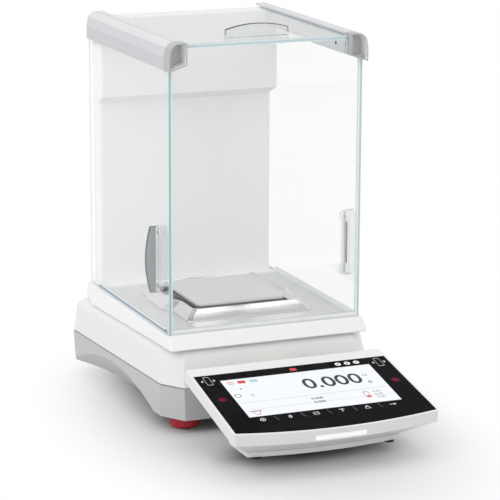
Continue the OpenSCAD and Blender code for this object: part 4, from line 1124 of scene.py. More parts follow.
@dataclass
class DraftShield:
    """Shield frame, glass panes, rails, caps, rear column and door handles."""

    finishes: Finishes
    frame_z: float = 75.0
    frame_top: float = 86.5
    skirt_low: tuple[Point, ...] = ((96.7, -113.5), (108, 72), (98, 117))
    skirt_high: tuple[Point, ...] = ((96.7, -103), (96.7, 72), (96.7, 117))
    skirt_low_round: float = 3.0
    skirt_high_round: float = 6.0
    openings: tuple[tuple[Triple, Point], ...] = (
        ((-80.5, -82.5, 70), (80.5, 76)), ((-88.7, -90.7, 85.5), (88.7, 84.2)),
        ((-90.2, -100.2, 82.5), (90.2, -95.8)), ((90.0, -100.3, 83.5), (93.8, 130)),
        ((-93.8, -100.3, 83.5), (-90.0, 130)))
    openings_top: float = 95.0
    glass_half: float = 90.0
    glass_front: float = -100.0
    glass_thick: float = 4.0
    glass_low: float = 82.5
    glass_top: float = 344.7
    # Painted shade, highlight and reflection at the panes' feet, from the foot up
    front_shading_bands: Bands = ((88.3, "foot_shade_grey"), (90.9, "foot_highlight_white"))
    left_shading_bands: Bands = ((87.3, "foot_reflection_pale"), (89.6, "foot_shade_blue"), (90.8, "foot_highlight_white"))
    right_shading_bands: Bands = ((90.8, "foot_highlight_white"),)
    band_ends: Point = (-90.0, 90.0)
    fit: float = 0.2
    run: float = 0.3
    rail_z: float = 325.0
    rail_top: float = 350.5
    rail_in: float = 78.5
    rail_out: float = 95.5
    rail_slope: float = 6.0
    rail_front: float = -94.0
    rail_rear: float = 114.0
    rail_ends: Point = (-120.0, 130.0)
    rail_hole: Point = (-73.5, 337.9)
    rail_bore: float = 1.7
    hole_reach: float = 2.0
    hole_area: float = 30.0
    band_x: float = 95.0
    band_below: float = 1.0
    groove: Point = (90.0, 93.8)
    groove_low: float = 320.0
    groove_top: float = 328.5
    lid_groove: tuple[Point, Point] = ((70, 344.7), (83.5, 348.5))
    seam_groove: tuple[Point, Point] = ((85.2, 349.9), (86.1, 352))
    cap_front: float = -108.0
    cap_wall: float = 1.2
    cap_notch: tuple[Triple, Triple] = ((70, -95.0, 337), (79.4, -94.2, 342.4))
    notch_ends: Point = (-95.1, -94.1)
    notch_x: float = 79.5
    notch_area: float = 10.0
    door_in: float = 90.3
    door_out: float = 93.5
    door_low: float = 83.8
    door_high: float = 328.2
    door_rear: float = 113.0
    lid_z: float = 345.0
    lid_top: float = 348.2
    lid_rear: float = 100.0
    lid_wing: float = 4.7
    column_half: float = 87.5
    column_rear: float = 111.5
    cover_rear: float = 113.5
    handle_y: float = -72.0
    handle_z: float = 151.0
    lid_handle_y: float = -76.0
    handle_len: float = 61.0
    handle_end: float = 7.5
    handle_arch: float = 4.5
    handle_thick: float = 1.5
    # Half the length of the foot's underside that gets the painted shade
    handle_shade_half: float = 20.0
    foot_half: float = 4.0
    foot_height: float = 2.4
    clamp_thick: float = 2.0
    studs: Point = (-24.5, 24.5)
    stud_radius: float = 2.0
    boss_radius: float = 4.5

    def under(self, x: float) -> float:
        """Finds the height of a rail's sloping underside at a distance from the middle."""
        return self.rail_z + self.rail_slope * (self.rail_out - x) / (self.rail_out - self.rail_in)

    def skirt(self, share: float, inset: float, z: float) -> Outline:
        """Lays the frame's outline part of the way from its foot to its top.

        Args:
            share: 0 for the foot's outline, 1 for the top's.
            inset: how far it is drawn in.
            z: its height.

        Returns:
            The outline.
        """
        low = rounded(both_sides(self.skirt_low), self.skirt_low_round, 5)
        high = rounded(both_sides(self.skirt_high), self.skirt_high_round, 5)
        mid = [(a[0] + (b[0] - a[0]) * share, a[1] + (b[1] - a[1]) * share)
               for a, b in zip(low, high)]
        return level([(x - math.copysign(inset, x), y - math.copysign(inset, y)) for x, y in mid], z)

    def build_frame(self) -> None:
        """Builds the white frame with its sloping skirt, door grooves and plate recess."""
        foot, top = self.frame_z, self.frame_top
        shell = Workbench.stack("shield_frame_shell", [
            self.skirt(0.0, 0.9, foot), self.skirt(0.04, 0.7, foot + 0.5),
            self.skirt(0.06, 0.0, foot + 0.8), self.skirt(0.86, 0.0, top - 1.6),
            self.skirt(0.94, 0.4, top - 0.7), self.skirt(0.98, 0.9, top - 0.2),
            self.skirt(1.0, 1.6, top)])
        Workbench.cut(shell, *[
            Workbench.block("cut", at(*low), at(*high, self.openings_top))
            for low, high in self.openings])
        Workbench.deliver(shell, "base", "white_plastic", self.finishes["deck_white"],
                          ["shield_frame"])

    def pane(self, name: str, layers: Sequence[Outline], flat: Axis, edge: str, body: str,
             node: str, holes: Sequence[Piece] = (), bands: Bands = ()) -> None:
        """Builds a glass pane with polished edges.

        Args:
            name: the new piece.
            layers: the pane's outline on both of its faces.
            flat: the axis across the pane.
            edge: the finish of its edges, in the glass's tint with painted light and shade; the rear
                edge is always pale.
            body: the CAD body it moves with.
            node: the CAD node it replaces.
            holes: tools that are cut from it.
            bands: from the foot up, the height where each painted band of light and shade on the
                faces ends and its finish.
        """
        glass = Workbench.stack(name, layers)
        Workbench.cut(glass, *holes)
        Workbench.soften(glass, 0.3, 2, 40)
        for height, _ in bands:
            Workbench.split(glass, at(0, 0, height), Axis.Z)
        if flat is Axis.X and bands:
            for y in self.band_ends:
                Workbench.split(glass, at(0, y, 0), Axis.Y)
        low, high = (at(0, y, 0).y for y in self.band_ends)

        def choose(face: Face) -> int:
            """Tells the clear faces, the edges and the bands apart.

            Args:
                face: a face of the pane.

            Returns:
                The number of its finish.
            """
            if abs(face.normal[flat.value]) <= FACING:
                return 2 if face.normal.y > 0.5 and flat is not Axis.Y else 1
            if flat is Axis.Y or low < face.center.y < high:
                for i, (height, _) in enumerate(bands):
                    if face.center.z < height * MM:
                        return 3 + i
            return 0

        self.finishes.paint(glass, ["pane_glass", edge, "rear_edge"] + [n for _, n in bands], choose)
        Workbench.deliver(glass, body, "clear_glass", self.finishes["pane_glass"], [node])

    def stud_hole(self, centre: Vector, axis: Axis) -> Piece:
        """Makes the tool for a handle's hole in a pane."""
        return Workbench.barrel("hole", centre, self.stud_radius + self.fit, 20, axis, 24)

    def gable(self, half: float, low: float) -> list[Point]:
        """Draws a flat panel that fits between the sloping undersides of the rails.

        Args:
            half: its half width below the rails.
            low: the height of its foot.

        Returns:
            The section in X and Z.
        """
        notch, top = self.rail_in - self.fit, self.glass_top
        edge_z, notch_z = self.under(half) - self.fit, self.under(notch) - self.fit
        return [(-half, low), (half, low), (half, edge_z), (notch, notch_z), (notch, top),
                (-notch, top), (-notch, notch_z), (-half, edge_z)]

    def build_panes(self) -> None:
        """Builds the front glass, both side doors and the top door."""
        face = self.gable(self.glass_half, self.glass_low)
        self.pane("front_pane", [upright(face, y) for y in
                                 (self.glass_front, self.glass_front + self.glass_thick)],
                  Axis.Y, "front_edge", "base", "front_glass", bands=self.front_shading_bands)
        side = square((self.glass_front, self.door_low), (self.door_rear, self.door_high))
        for sign, name, bands in ((-1, "left", self.left_shading_bands), (1, "right", self.right_shading_bands)):
            holes = [self.stud_hole(at(sign * 92, self.handle_y, self.handle_z + dz), Axis.X)
                     for dz in self.studs]
            self.pane(f"{name}_pane", [[at(sign * x, y, z) for y, z in side]
                                       for x in (self.door_in, self.door_out)],
                      Axis.X, f"{name}_edge", f"{name}_door", f"{name}_door_glass", holes, bands)
        narrow, wide = self.rail_in - self.run, self.rail_in + self.lid_wing
        corner = self.rail_front + self.run
        lid = [(-narrow, self.glass_front), (narrow, self.glass_front), (narrow, corner),
               (wide, corner), (wide, self.lid_rear), (-wide, self.lid_rear), (-wide, corner),
               (-narrow, corner)]
        holes = [self.stud_hole(at(dx, self.lid_handle_y, 346.5), Axis.Z) for dx in self.studs]
        self.pane("top_pane", [level(lid, self.lid_z), level(lid, self.lid_top)], Axis.Z,
                  "lid_edge", "top_door", "top_door_glass", holes)

    def rail_section(self) -> list[Point]:
        """Draws the right rail's section in X and Z, with its leaning outer face."""
        o, i, z, t = self.rail_out, self.rail_in, self.rail_z, self.rail_top
        return [(i, z + self.rail_slope), (o, z), (o, z + 12.0), (o - 1.5, t - 5.0),
                (o - 4.2, t - 1.9), (o - 7.5, t), (i, t)]

    @staticmethod
    def along(name: str, section: Sequence[Point], rear: float, front: float) -> Piece:
        """Extrudes a section in X and Z forwards between two depths."""
        return Workbench.stack(name, [upright(section, y) for y in (rear, front)])

    def rail_bar(self, name: str, rear: float, front: float) -> Piece:
        """Makes a softened length of the right rail's section.

        Args:
            name: the new piece.
            rear: the depth where it starts.
            front: the depth where it ends.

        Returns:
            The bar.
        """
        bar = self.along(name, self.rail_section(), rear, front)
        Workbench.soften(bar, 0.45, 2, 20)
        return bar

    def build_rails(self) -> None:
        """Builds both top rails with their door grooves and fixing hole."""
        rail = self.rail_bar("right_top_rail", self.rail_rear, self.rail_front)
        front, rear = self.rail_ends
        door = ((self.groove[0], self.groove_low), (self.groove[1], self.groove_top))
        spot = at(self.rail_in, *self.rail_hole)
        Workbench.cut(rail, *[
            Workbench.block("cut", at(x1, front, z1), at(x2, rear, z2))
            for (x1, z1), (x2, z2) in (door, self.lid_groove, self.seam_groove)],
            Workbench.barrel("cut", spot, self.rail_bore, 3, Axis.X, 20))
        reach, below = self.hole_reach * MM, self.band_below * MM

        # The hole gets painted shade, the lower outer band a darker painted shade and the upward
        # faces a painted light
        def choose(face: Face) -> int:
            """Tells the hole, the lower outer band, the top and the rest apart.

            Args:
                face: a face of the rail.

            Returns:
                The number of its finish.
            """
            off = face.center - spot
            if face.area < self.hole_area * MM ** 2 and max(abs(off.y), abs(off.z)) < reach:
                return 1
            outer = abs(face.normal.x) > FACING and abs(face.center.x) > self.band_x * MM
            if outer and off.z < -below:
                return 2
            return 3 if face.normal.z > 0.5 else 0

        left = Workbench.mirrored(rail, "left_top_rail")
        for piece, node in ((rail, "right_rail"), (left, "left_rail")):
            self.finishes.paint(piece, ("rail_grey", "deep_shade", "rail_band", "rail_top"), choose)
            Workbench.deliver(piece, "base", "white_metal", self.finishes["rail_grey"], [node])

    def build_caps(self) -> None:
        """Builds the thin-walled caps that close the rails' front ends."""
        wall, slot_front = self.cap_wall, self.glass_front - self.run
        cap = self.rail_bar("cap_shell", self.rail_front, self.cap_front)
        Workbench.cut(cap, self.along("pocket", drawn_in(self.rail_section(), wall),
                                      self.rail_front - wall, self.cap_front - 4))
        inner, outer = self.door_in - self.run - wall, self.rail_out - 0.5
        roof = self.groove_top + wall
        sleeve = [(inner, self.under(inner) + 0.5), (outer, self.rail_z + 1), (outer, roof),
                  (inner, roof)]
        Workbench.weld(cap, self.along("sleeve", sleeve, self.rail_front - 0.5, slot_front - wall))
        Workbench.cut(cap, Workbench.block("slot", at(self.groove[0], slot_front, self.groove_low),
                                           at(self.groove[1], -90, self.groove_top)),
                      Workbench.block("notch", *(at(*corner) for corner in self.cap_notch)))
        middle = at((self.rail_in + self.rail_out) / 2, 0, (self.rail_z + self.rail_top) / 2)
        lip_y = at(0, self.cap_front + 1, 0).y
        notch_front, notch_rear = (at(0, y, 0).y for y in self.notch_ends)

        # The notch gets painted shade, the pocket's back wall a painted shade and its sides a
        # painted light
        def choose(face: Face) -> int:
            """Tells the notch, the pocket's back and sides, and the outside apart.

            Args:
                face: a face of the cap.

            Returns:
                The number of its finish.
            """
            x, y, _ = face.center
            small = face.area < self.notch_area * MM ** 2
            if small and notch_front < y < notch_rear and x < self.notch_x * MM:
                return 2
            if face.normal.y < -FACING and y > lip_y:
                return 3
            out = face.center - middle
            inward = out.x * face.normal.x + out.z * face.normal.z < 0
            return int(abs(face.normal.y) < 0.5 and inward)

        self.finishes.paint(cap, ("cap_grey", "cap_inside_lit", "deep_shade", "cap_back_shade"), choose)
        caps = Workbench.gather("rail_end_caps", [cap, Workbench.mirrored(cap, "left_cap_shell")])
        Workbench.deliver(caps, "base", "white_plastic", self.finishes["cap_grey"],
                          ["rail_front_caps"])

    def column_layer(self, half: float, front: float, z: float) -> Outline:
        """Lays the column's outline with rounded corners at one height."""
        return level(rounded(square((-half, front), (half, self.column_rear)), 3.5, 7), z)

    def rail_room(self, side: int) -> Piece:
        """Makes the space that one rail takes out of the column's top.

        Args:
            side: -1 for the left, 1 for the right.

        Returns:
            The tool.
        """
        i, o = self.rail_in - self.fit, self.rail_out + 10
        section = [(i, self.under(i)), (o, self.under(o)), (o, 360), (i, 360)]
        return self.along("room", [(side * x, z) for x, z in section], 130, 70)

    def build_column(self) -> None:
        """Builds the rear column with its proud upper block and sloping ledge, and its cover."""
        half, foot, top = self.column_half, self.frame_top, self.glass_top
        column = Workbench.stack("rear_column_shell", [
            self.column_layer(*step) for step in (
                (half, 97, foot), (half, 97, 264.2), (87.7, 96.4, 265.2), (89.3, 85.7, 271.0),
                (89.5, 85, 272.2), (89.5, 85, top - 0.8), (88.9, 85.6, top))])
        Workbench.cut(column, self.rail_room(-1), self.rail_room(1),
                      Workbench.block("hollow", at(-83, 101, foot + 3), at(83, 130, 320)))
        Workbench.deliver(column, "base", "white_plastic", self.finishes["column_white"],
                          ["rear_column"])
        cover = self.along("rear_cover_plate", self.gable(half, foot), self.cover_rear,
                           self.column_rear)
        Workbench.soften(cover, 0.6)
        Workbench.deliver(cover, "base", "white_plastic", self.finishes["column_white"],
                          ["column_rear_cover"])

    def bar(self, name: str, low: float, high: float) -> Piece:
        """Makes a handle's flat bar with soft edges, between two heights off the glass.

        Args:
            name: the new piece.
            low: the lower height.
            high: the upper height.

        Returns:
            The bar.
        """
        half = self.handle_len / 2
        piece = Workbench.block(name, own(-half, -self.foot_half, low),
                                own(half, self.foot_half, high))
        Workbench.soften(piece, 0.6, 3, 40)
        return piece

    def blade(self, name: str, looks: Sequence[str]) -> Piece:
        """Builds a handle about the origin, length along X, standing up along Z.

        Args:
            name: the new piece.
            looks: finishes of the blade, of its foot bar against the glass, of its arched edge
                and of its ends.

        Returns:
            The handle.
        """
        half, thick, arch = self.handle_len / 2, self.handle_thick, self.handle_arch
        radius = (half ** 2 + arch ** 2) / (2 * arch)
        crown = [half * (1 - 2 * k / 24) for k in range(25)]
        profile = [(-half, 0.0), (half, 0.0)] + [
            (x, self.handle_end + arch - 0.02 - radius + math.sqrt(radius ** 2 - x ** 2))
            for x in crown]
        piece = Workbench.stack(name, [[own(x, y, z) for x, z in profile] for y in (-thick, thick)])
        Workbench.soften(piece, 0.5, 3, 40)
        Workbench.weld(piece, self.bar("foot", 0, self.foot_height))
        for x in (-self.handle_shade_half, self.handle_shade_half):
            Workbench.split(piece, own(x, 0, 0), Axis.X)

        def choose(face: Face) -> int:
            """Tells the foot bar, the ends, the arched edge and the blade's sides apart.

            Args:
                face: a face of the handle.

            Returns:
                The number of its finish.
            """
            x, y, z = face.center / MM
            underside = face.normal.z < -FACING
            if underside or z < self.foot_height + 0.02 and abs(y) > thick + 0.1:
                return 1 if underside and abs(x) < self.handle_shade_half else 4
            if abs(face.normal.x) > 0.8:
                return 3
            return 2 if abs(face.normal.y) < 0.97 else 0

        self.finishes.paint(piece, (*looks, "clear_handle"), choose)
        return piece

    def clamp(self, name: str) -> Piece:
        """Builds the clear clamp inside the glass, with two bosses and the studs.

        Args:
            name: the new piece.

        Returns:
            The clamp.
        """
        piece = self.bar(name, -self.clamp_thick, 0)
        for x in self.studs:
            boss = Workbench.barrel("boss", own(x, 0, -2), self.boss_radius, 4)
            Workbench.soften(boss, 0.7, 3, 40)
            stud = Workbench.barrel("stud", own(x, 0, 1.4), self.stud_radius, 3.6, sides=24)
            Workbench.weld(piece, boss, stud)
        return piece

    def build_handles(self) -> None:
        """Builds the handles and inner clamps of the three doors."""
        # Besides the clear finish, the looks are painted shade and a painted reflection
        looks = {"left": ("handle_grey_shade", "clear_handle", "handle_shade", "handle_shade"),
                 "right": ("clear_handle", "handle_grey_shade", "clear_handle", "handle_shade"),
                 "top": ("clear_handle", "clear_handle", "handle_line_shade", "clear_handle")}
        turn = Matrix.Rotation(math.pi / 2, 4, "Y")
        for door, look in looks.items():
            handle = self.blade(f"{door}_handle_piece", look)
            clamp = self.clamp(f"{door}_clamp_piece")
            for piece, x, z in ((handle, self.door_out, self.lid_top),
                                (clamp, self.door_in, self.lid_z)):
                seat = Matrix.Translation(at(0, self.lid_handle_y, z))
                if door != "top":
                    seat = Matrix.Translation(at(x, self.handle_y, self.handle_z)) @ turn
                piece.data.transform(seat)
                if door == "left":
                    Workbench.swap_sides(piece)
            Workbench.deliver(handle, f"{door}_door", "clear_plastic",
                              self.finishes["clear_handle"], [f"{door}_door_handle"])
            Workbench.deliver(clamp, f"{door}_door", "clear_plastic",
                              self.finishes["clear_clamp"], [f"{door}_handle_clamp"])

    def build(self) -> None:
        """Builds the whole shield."""
        self.build_frame()
        self.build_panes()
        self.build_rails()
        self.build_caps()
        self.build_column()
        self.build_handles()


@dataclass
class WeighingArea:
    """Square pan and the polished ring round it."""

    finishes: Finishes
    ring_half_x: float = 61.5
    ring_half_y: float = 65.0
    ring_corner: float = 4.0
    ring_z: float = 87.0
    ring_top: float = 96.5
    lean: float = 7.5
    bulge: float = 4.5
    bulge_front: float = 42.0
    bulge_rear: float = 26.0
    bulge_ease: float = 9.0
    pan_half: float = 44.0
    pan_top: float = 99.0
    pan_depth: float = 7.0
    # Depth below the pan's top where the painted shade on its side starts
    shade_below: float = 3.6
    sheet: float = 1.7
    sheet_round: float = 4.8

    def ring_outline(self, inset: float) -> list[Point]:
        """Draws in the ring's outline with its swollen sides.

        Args:
            inset: how far it is drawn in.

        Returns:
            The outline.
        """
        x, y, c = self.ring_half_x - inset, self.ring_half_y - inset, self.ring_corner
        front = -self.ring_half_y + self.bulge_front
        rear = self.ring_half_y - self.bulge_rear
        return both_sides([
            (x - c, -y), (x, -y + c), (x, front), (x + self.bulge, front + self.bulge_ease),
            (x + self.bulge, rear - self.bulge_ease), (x, rear), (x, y - c), (x - c, y)])

    def build_ring(self) -> None:
        """Builds the polished ring as one bent sheet with a lip."""
        lean, foot, top = self.lean, self.ring_z, self.ring_top
        steps = [(0.0, foot), (0.0, foot + 0.6), (2.9, foot + 4.4), (lean, top - 0.7),
                 (lean + 1.0, top), (lean + 2.0, top), (lean + 6.0, top - 4.4),
                 (lean + 5.2, top - 5.0), (lean + 1.4, top - 1.1), (2.0, foot)]
        ring = Workbench.stack("wind_ring_sheet", [
            level(self.ring_outline(inset), z) for inset, z in steps], filled=False, closed=True)
        Workbench.soften(ring, 0.35, 2, 15)
        Workbench.deliver(ring, "ring", "polished_steel", self.finishes["polished_ring"],
                          ["wind_ring"])

    def pan_layer(self, inset: float, below: float, radius: float) -> Outline:
        """Lays the pan's outline, drawn in, at a distance below its top."""
        half = self.pan_half - inset
        return level(rounded(square((-half, -half), (half, half)), radius, 5), self.pan_top - below)

    def build_pan(self) -> None:
        """Builds the pan as a folded sheet with a rounded rim and a step in its side."""
        pan = Workbench.stack("weighing_pan_sheet", [
            self.pan_layer(*step) for step in (
                (1.6, self.pan_depth, 4.8), (0.9, self.pan_depth, 5.4), (0.9, 4.0, 5.4),
                (0, 3.7, 6.0), (0, 1.6, 6.0), (0.5, 0.5, 5.8), (1.6, 0, 5.2))])
        Workbench.cut(pan, Workbench.stack("hollow", [
            self.pan_layer(self.sheet, below, self.sheet_round)
            for below in (self.pan_depth + 2, 1.2)]))
        notch = self.pan_half - 1.0
        Workbench.cut(pan, *[
            Workbench.barrel("notch", at(x, y, self.pan_top - 5.5), 1.3, 7, sides=16)
            for x in (-notch, notch) for y in (-notch, notch)])
        # Faces below the step get painted shade, other faces that do not look up get the rim finish
        shade_z = (self.pan_top - self.shade_below) * MM
        self.finishes.paint(
            pan, ("brushed_pan", "pan_edge", "pan_skirt"),
            lambda face: 2 if face.center.z < shade_z else int(face.normal.z < FACING))
        Workbench.deliver(pan, "pan", "brushed_plate", self.finishes["brushed_pan"],
                          ["weighing_pan"])

    def build(self) -> None:
        """Builds ring and pan."""
        self.build_ring()
        self.build_pan()


@dataclass
class FacePrint:
    """Flat prints on the terminal's face, gathered by ink.

    A place is x to the right and s down the face. lift is the height off the glass.
    """

    finishes: Finishes
    seat: Matrix
    sheets: list[tuple[str, Piece]] = field(default_factory=list)

    def shape(self, ink: str, outline: Sequence[Point], lift: float = 0.05) -> None:
        """Prints a filled outline."""
        flat = Workbench.stack("print", [off_face([(x, -s) for x, s in outline], lift)])
        self.sheets.append((ink, flat))

    def line(self, ink: str, start: Point, end: Point, width: float, lift: float = 0.06) -> None:
        """Prints a straight stroke.

        Args:
            ink: its finish.
            start: where its middle line starts.
            end: where it ends.
            width: its width.
            lift: its height off the glass.
        """
        a, b = Vector(start), Vector(end)
        run = b - a
        side = Vector((-run.y, run.x)).normalized() * (width / 2)
        self.shape(ink, [tuple(p) for p in (a - side, b - side, b + side, a + side)], lift)

    def loop(self, ink: str, outline: Sequence[Point], width: float, lift: float = 0.06) -> None:
        """Prints a closed stroke inside an outline.

        Args:
            ink: its finish.
            outline: its outer edge.
            width: its width, measured towards the outline's middle.
            lift: its height off the glass.
        """
        mid = sum((Vector(p) for p in outline), Vector((0, 0))) / len(outline)
        rays = [Vector(p) - mid for p in outline]
        inner = [tuple(mid + ray * max(0.0, 1 - width / ray.length)) for ray in rays]
        band = Workbench.stack("print", [
            off_face([(x, -s) for x, s in ring], lift) for ring in (outline, inner)], filled=False)
        self.sheets.append((ink, band))

    def disc(self, ink: str, x: float, s: float, radius: float, lift: float = 0.05) -> None:
        """Prints a filled circle."""
        self.shape(ink, circle(x, s, radius), lift)

    def number(self, ink: str, text: str, x: float, s: float, size: float,
               weight: float = 0.012, lift: float = 0.07) -> None:
        """Prints plain figures.

        Args:
            ink: their finish.
            text: the figures.
            x: their left end.
            s: their foot.
            size: their size.
            weight: how much bolder they are, as a share of the size.
            lift: their height off the glass.
        """
        Workbench.clear()
        bpy.ops.object.text_add()
        figures = bpy.context.object.data
        figures.body = text
        figures.size = size * MM
        figures.offset = weight * size * MM
        bpy.ops.object.convert(target="MESH")
        flat = Workbench.named("print")
        flat.data.transform(Matrix.Translation(own(x, -s, lift)))
        self.sheets.append((ink, flat))

    def deliver(self) -> None:
        """Gathers the prints by ink and lays them on the glass."""
        up = self.seat.to_3x3() @ Vector((0, 0, 1))
        for ink in dict.fromkeys(name for name, _ in self.sheets):
            sheet = Workbench.gather(f"print_{ink}", [p for name, p in self.sheets if name == ink])
            sheet.data.transform(self.seat)
            with Workbench.editing(sheet):
                bpy.ops.mesh.normals_make_consistent(inside=False)
            self.turn_faces(sheet, {f.index for f in sheet.data.polygons if f.normal.dot(up) < 0})
            Workbench.deliver(sheet, "base", "black_glass", self.finishes[ink], smooth=False)

    @staticmethod
    def turn_faces(sheet: Piece, faces: set[int]) -> None:
        """Turns faces of a flat print to face outward.

        Args:
            sheet: the print.
            faces: numbers of the faces that are turned.
        """
        if not faces:
            return
        with Workbench.editing(sheet, "DESELECT", "FACE"):
            mesh = bmesh.from_edit_mesh(sheet.data)
            for face in mesh.faces:
                face.select = face.index in faces
            bmesh.update_edit_mesh(sheet.data)
            bpy.ops.mesh.flip_normals()


@dataclass
class Terminal:
    """Tilted touch terminal: shells, black glass, screen graphics and light bar."""

    finishes: Finishes
    tilt: float = 11.6
    back: float = 156.5
    height: float = 63.5
    half_back: float = 92.25
    half_front: float = 94.25
    depth: float = 105.0
    bow: float = 9.0
    bow_steps: int = 32
    strip: float = 15.5
    rim: float = 2.0
    shell: float = 11.5
    wedge: float = 33.5
    wedge_bow: float = 8.0
    wedge_rim: float = 14.5
    glass: float = 2.2
    bed_gap: float = 0.2
    slot_low: Triple = (-24.2, -140, -10.4)
    slot_high: Triple = (24.2, -108, -5.4)
    bar_low: Point = (-24, -113.0)
    bar_high: Point = (24, -115.2)
    bar_heights: Point = (-10.2, -5.6)
    screen_low: Point = (-72, 12.3)
    screen_high: Point = (72, 81)
    sensor_x: float = 82.7
    sensor_s: float = 45.5
    slider_x: float = 82.5
    lamp_marks: Triple = (44.0, 53.0, 62.0)
    keys: tuple[float, ...] = (-62, -36.5, -12.2, 12.2, 36.2, 60.5)
    key_s: float = 87.2
    key_gaps: tuple[float, ...] = (-49.5, -24.4, 0.0, 24.4, 48.8)

    def seat(self) -> Matrix:
        """Works out the matrix from the terminal's own axes to the frame."""
        return (Matrix.Translation(at(0, -self.back, self.height))
                @ Matrix.Rotation(math.radians(self.tilt), 4, "X"))

    def shares(self) -> list[float]:
        """Lists even steps from -1 at the left end of a bowed edge to 1 at the right."""
        return [2 * i / self.bow_steps - 1 for i in range(self.bow_steps + 1)]

    def outline(self, grow: float, back: float) -> list[Point]:
        """Grows the glass outline with its bowed front edge.

        Args:
            grow: how far the sides and the front move out.
            back: where the back edge lies.

        Returns:
            The outline.
        """
        hb, hf = self.half_back + grow, self.half_front + grow
        front = [(t * hf, -self.depth - grow - self.bow * (1 - t * t)) for t in self.shares()]
        return [(hb, back), (-hb, back)] + front

    def slab(self, name: str, grow: float, back: float, heights: Point) -> Piece:
        """Makes a slab of the grown outline in the terminal's own axes.

        Args:
            name: the new piece.
            grow: how far the sides and the front move out.
            back: where the back edge lies.
            heights: its lower and upper faces.

        Returns:
            The slab.
        """
        return Workbench.stack(name, [off_face(self.outline(grow, back), z) for z in heights])

    def build_top_shell(self) -> None:
        """Builds the upper shell with the glass bed and the slot of the light bar."""
        shell = self.slab("terminal_upper_shell", self.rim, self.strip, (-self.shell, 0.0))
        Workbench.bevel_where(
            shell, 2.4, 4, lambda a, b: abs(a.z - b.z) > 5 * MM and abs(a.x) > 0.09)
        Workbench.bevel_where(
            shell, 2.0, 4, lambda a, b: min(a.z, b.z) > -NEAR and min(a.y, b.y) > 0.01)
        Workbench.soften(shell, 0.5, 3, 30)
        Workbench.cut(
            shell, self.slab("bed", self.bed_gap, self.bed_gap, (-self.glass, 4)),
            self.slab("hollow", -0.4, self.strip - 2.4, (-20, -4.6)),
            self.slab("window", -5, -5, (-20, 4)),
            Workbench.block("slot", own(*self.slot_low), own(*self.slot_high)))
        shell.data.transform(self.seat())
        Workbench.deliver(shell, "base", "white_plastic", self.finishes["terminal_white"],
                          ["terminal_top_shell"])

    def build_bottom_shell(self) -> None:
        """Builds the wedge-shaped lower shell."""
        seat, rear, bow = self.seat(), self.back + self.wedge, self.wedge_bow
        end = self.back + (self.depth + self.bow + self.rim) * math.cos(math.radians(self.tilt))

        def under(half: float, short: float, back: float, z: float) -> Outline:
            """Lays a level outline of the lower shell with its bowed front.

            Args:
                half: its half width.
                short: how far its front falls short of the upper shell's.
                back: how far its back edge lies behind the wedge's.
                z: its height.

            Returns:
                The outline.
            """
            edge = [(t * half, -(end - short) + bow * t * t) for t in self.shares()]
            return level([(half, -(rear + back)), (-half, -(rear + back))] + edge, z)

        def top(inset: float, off: float) -> Outline:
            """Lays the outline where the lower shell meets the upper one, drawn in."""
            outline = self.outline(self.rim - inset, self.strip - inset)
            return [seat @ p for p in off_face(outline, off - self.shell)]

        rim_z = self.wedge_rim
        shell = Workbench.stack("terminal_lower_shell", [
            under(72, 31, 0, 10), under(72.5, 30.5, 0, rim_z), under(71.7, 31.3, 0.8, rim_z),
            top(1.2, 0.0)])
        Workbench.soften(shell, 0.3, 2, 16)
        Workbench.cut(shell, Workbench.stack("hollow", [
            under(69.6, 33.4, 2.4, 12.4), under(70.1, 32.9, 2.4, rim_z), top(3.6, 0.5)]))
        Workbench.deliver(shell, "base", "white_plastic", self.finishes["terminal_white"],
                          ["terminal_bottom_shell"])

    def build_glass(self) -> None:
        """Builds the black touch glass and the light bar."""
        glass = self.slab("touch_panel", 0, 0, (-self.glass, 0.0))
        Workbench.soften(glass, 0.35, 3, 30)
        glass.data.transform(self.seat())
        Workbench.deliver(glass, "base", "black_glass", self.finishes["touch_black"],
                          ["touch_glass"])
        outline = rounded(square(self.bar_low, self.bar_high), 0.6, 3)
        bar = Workbench.stack("light_bar_lens", [off_face(outline, z) for z in self.bar_heights])
        bar.data.transform(self.seat())
        Workbench.deliver(bar, "base", "light", self.finishes["light_diffuser"], ["light_bar"])

    def draw_screen(self, prints: FacePrint) -> None:
        """Draws the lit screen with a plain reading and generic marks.

        Args:
            prints: where the marks go.
        """
        black, grey, red = "ink_black", "ink_grey", "ink_red"
        prints.shape("screen_white", square(self.screen_low, self.screen_high), 0.03)
        for ink, text, x, s, size in (
                (black, "0.000", -2.5, 43.5, 25.5), (black, "0", 57.0, 46.0, 6.5),
                (black, "0.000", -6, 63.5, 5.0), (black, "0.000", -6, 69.8, 5.0),
                (grey, "0.00", 53, 63.0, 4.4), (grey, "0.00", 53, 68.2, 4.4),
                (grey, "0.00", 53, 73.4, 4.4), (grey, "0", -55, 45, 5.5)):
            prints.number(ink, text, x, s, size)
        for ink, x, s, radius, width in ((black, 59.0, 31.0, 2.0, 0.5), (red, -64.5, 18.5, 2.9, 0.6),
                                         (black, -67, 42, 3.2, 0.7)):
            prints.loop(ink, circle(x, s, radius), width)
        for ink, start, end, width in (
                (grey, (-68, 55.5), (68, 55.5), 0.35), (grey, (-68, 68.5), (68, 68.5), 0.25),
                (red, (-64.5, 16.8), (-64.5, 20.2), 0.7), (black, (-68, 71.4), (-56, 71.4), 0.7)):
            prints.line(ink, start, end, width)
        for k in range(3):
            prints.line("ink_cyan", (-46.5, 16.8 + 1.8 * k), (-39, 16.8 + 1.8 * k), 0.9)
        prints.loop(red, rounded(square((43.5, 60), (48.5, 71)), 2), 0.9)
        prints.disc(red, 46, 68.6, 1.5, 0.07)
        prints.shape(red, rounded(square((-58, 16), (-50.5, 21)), 1.6))
        prints.loop(red, rounded([(-66, 72), (-58, 72), (-60, 78), (-64, 78)], 0.8), 0.7)
        prints.disc(black, -59.5, 30.5, 0.9)

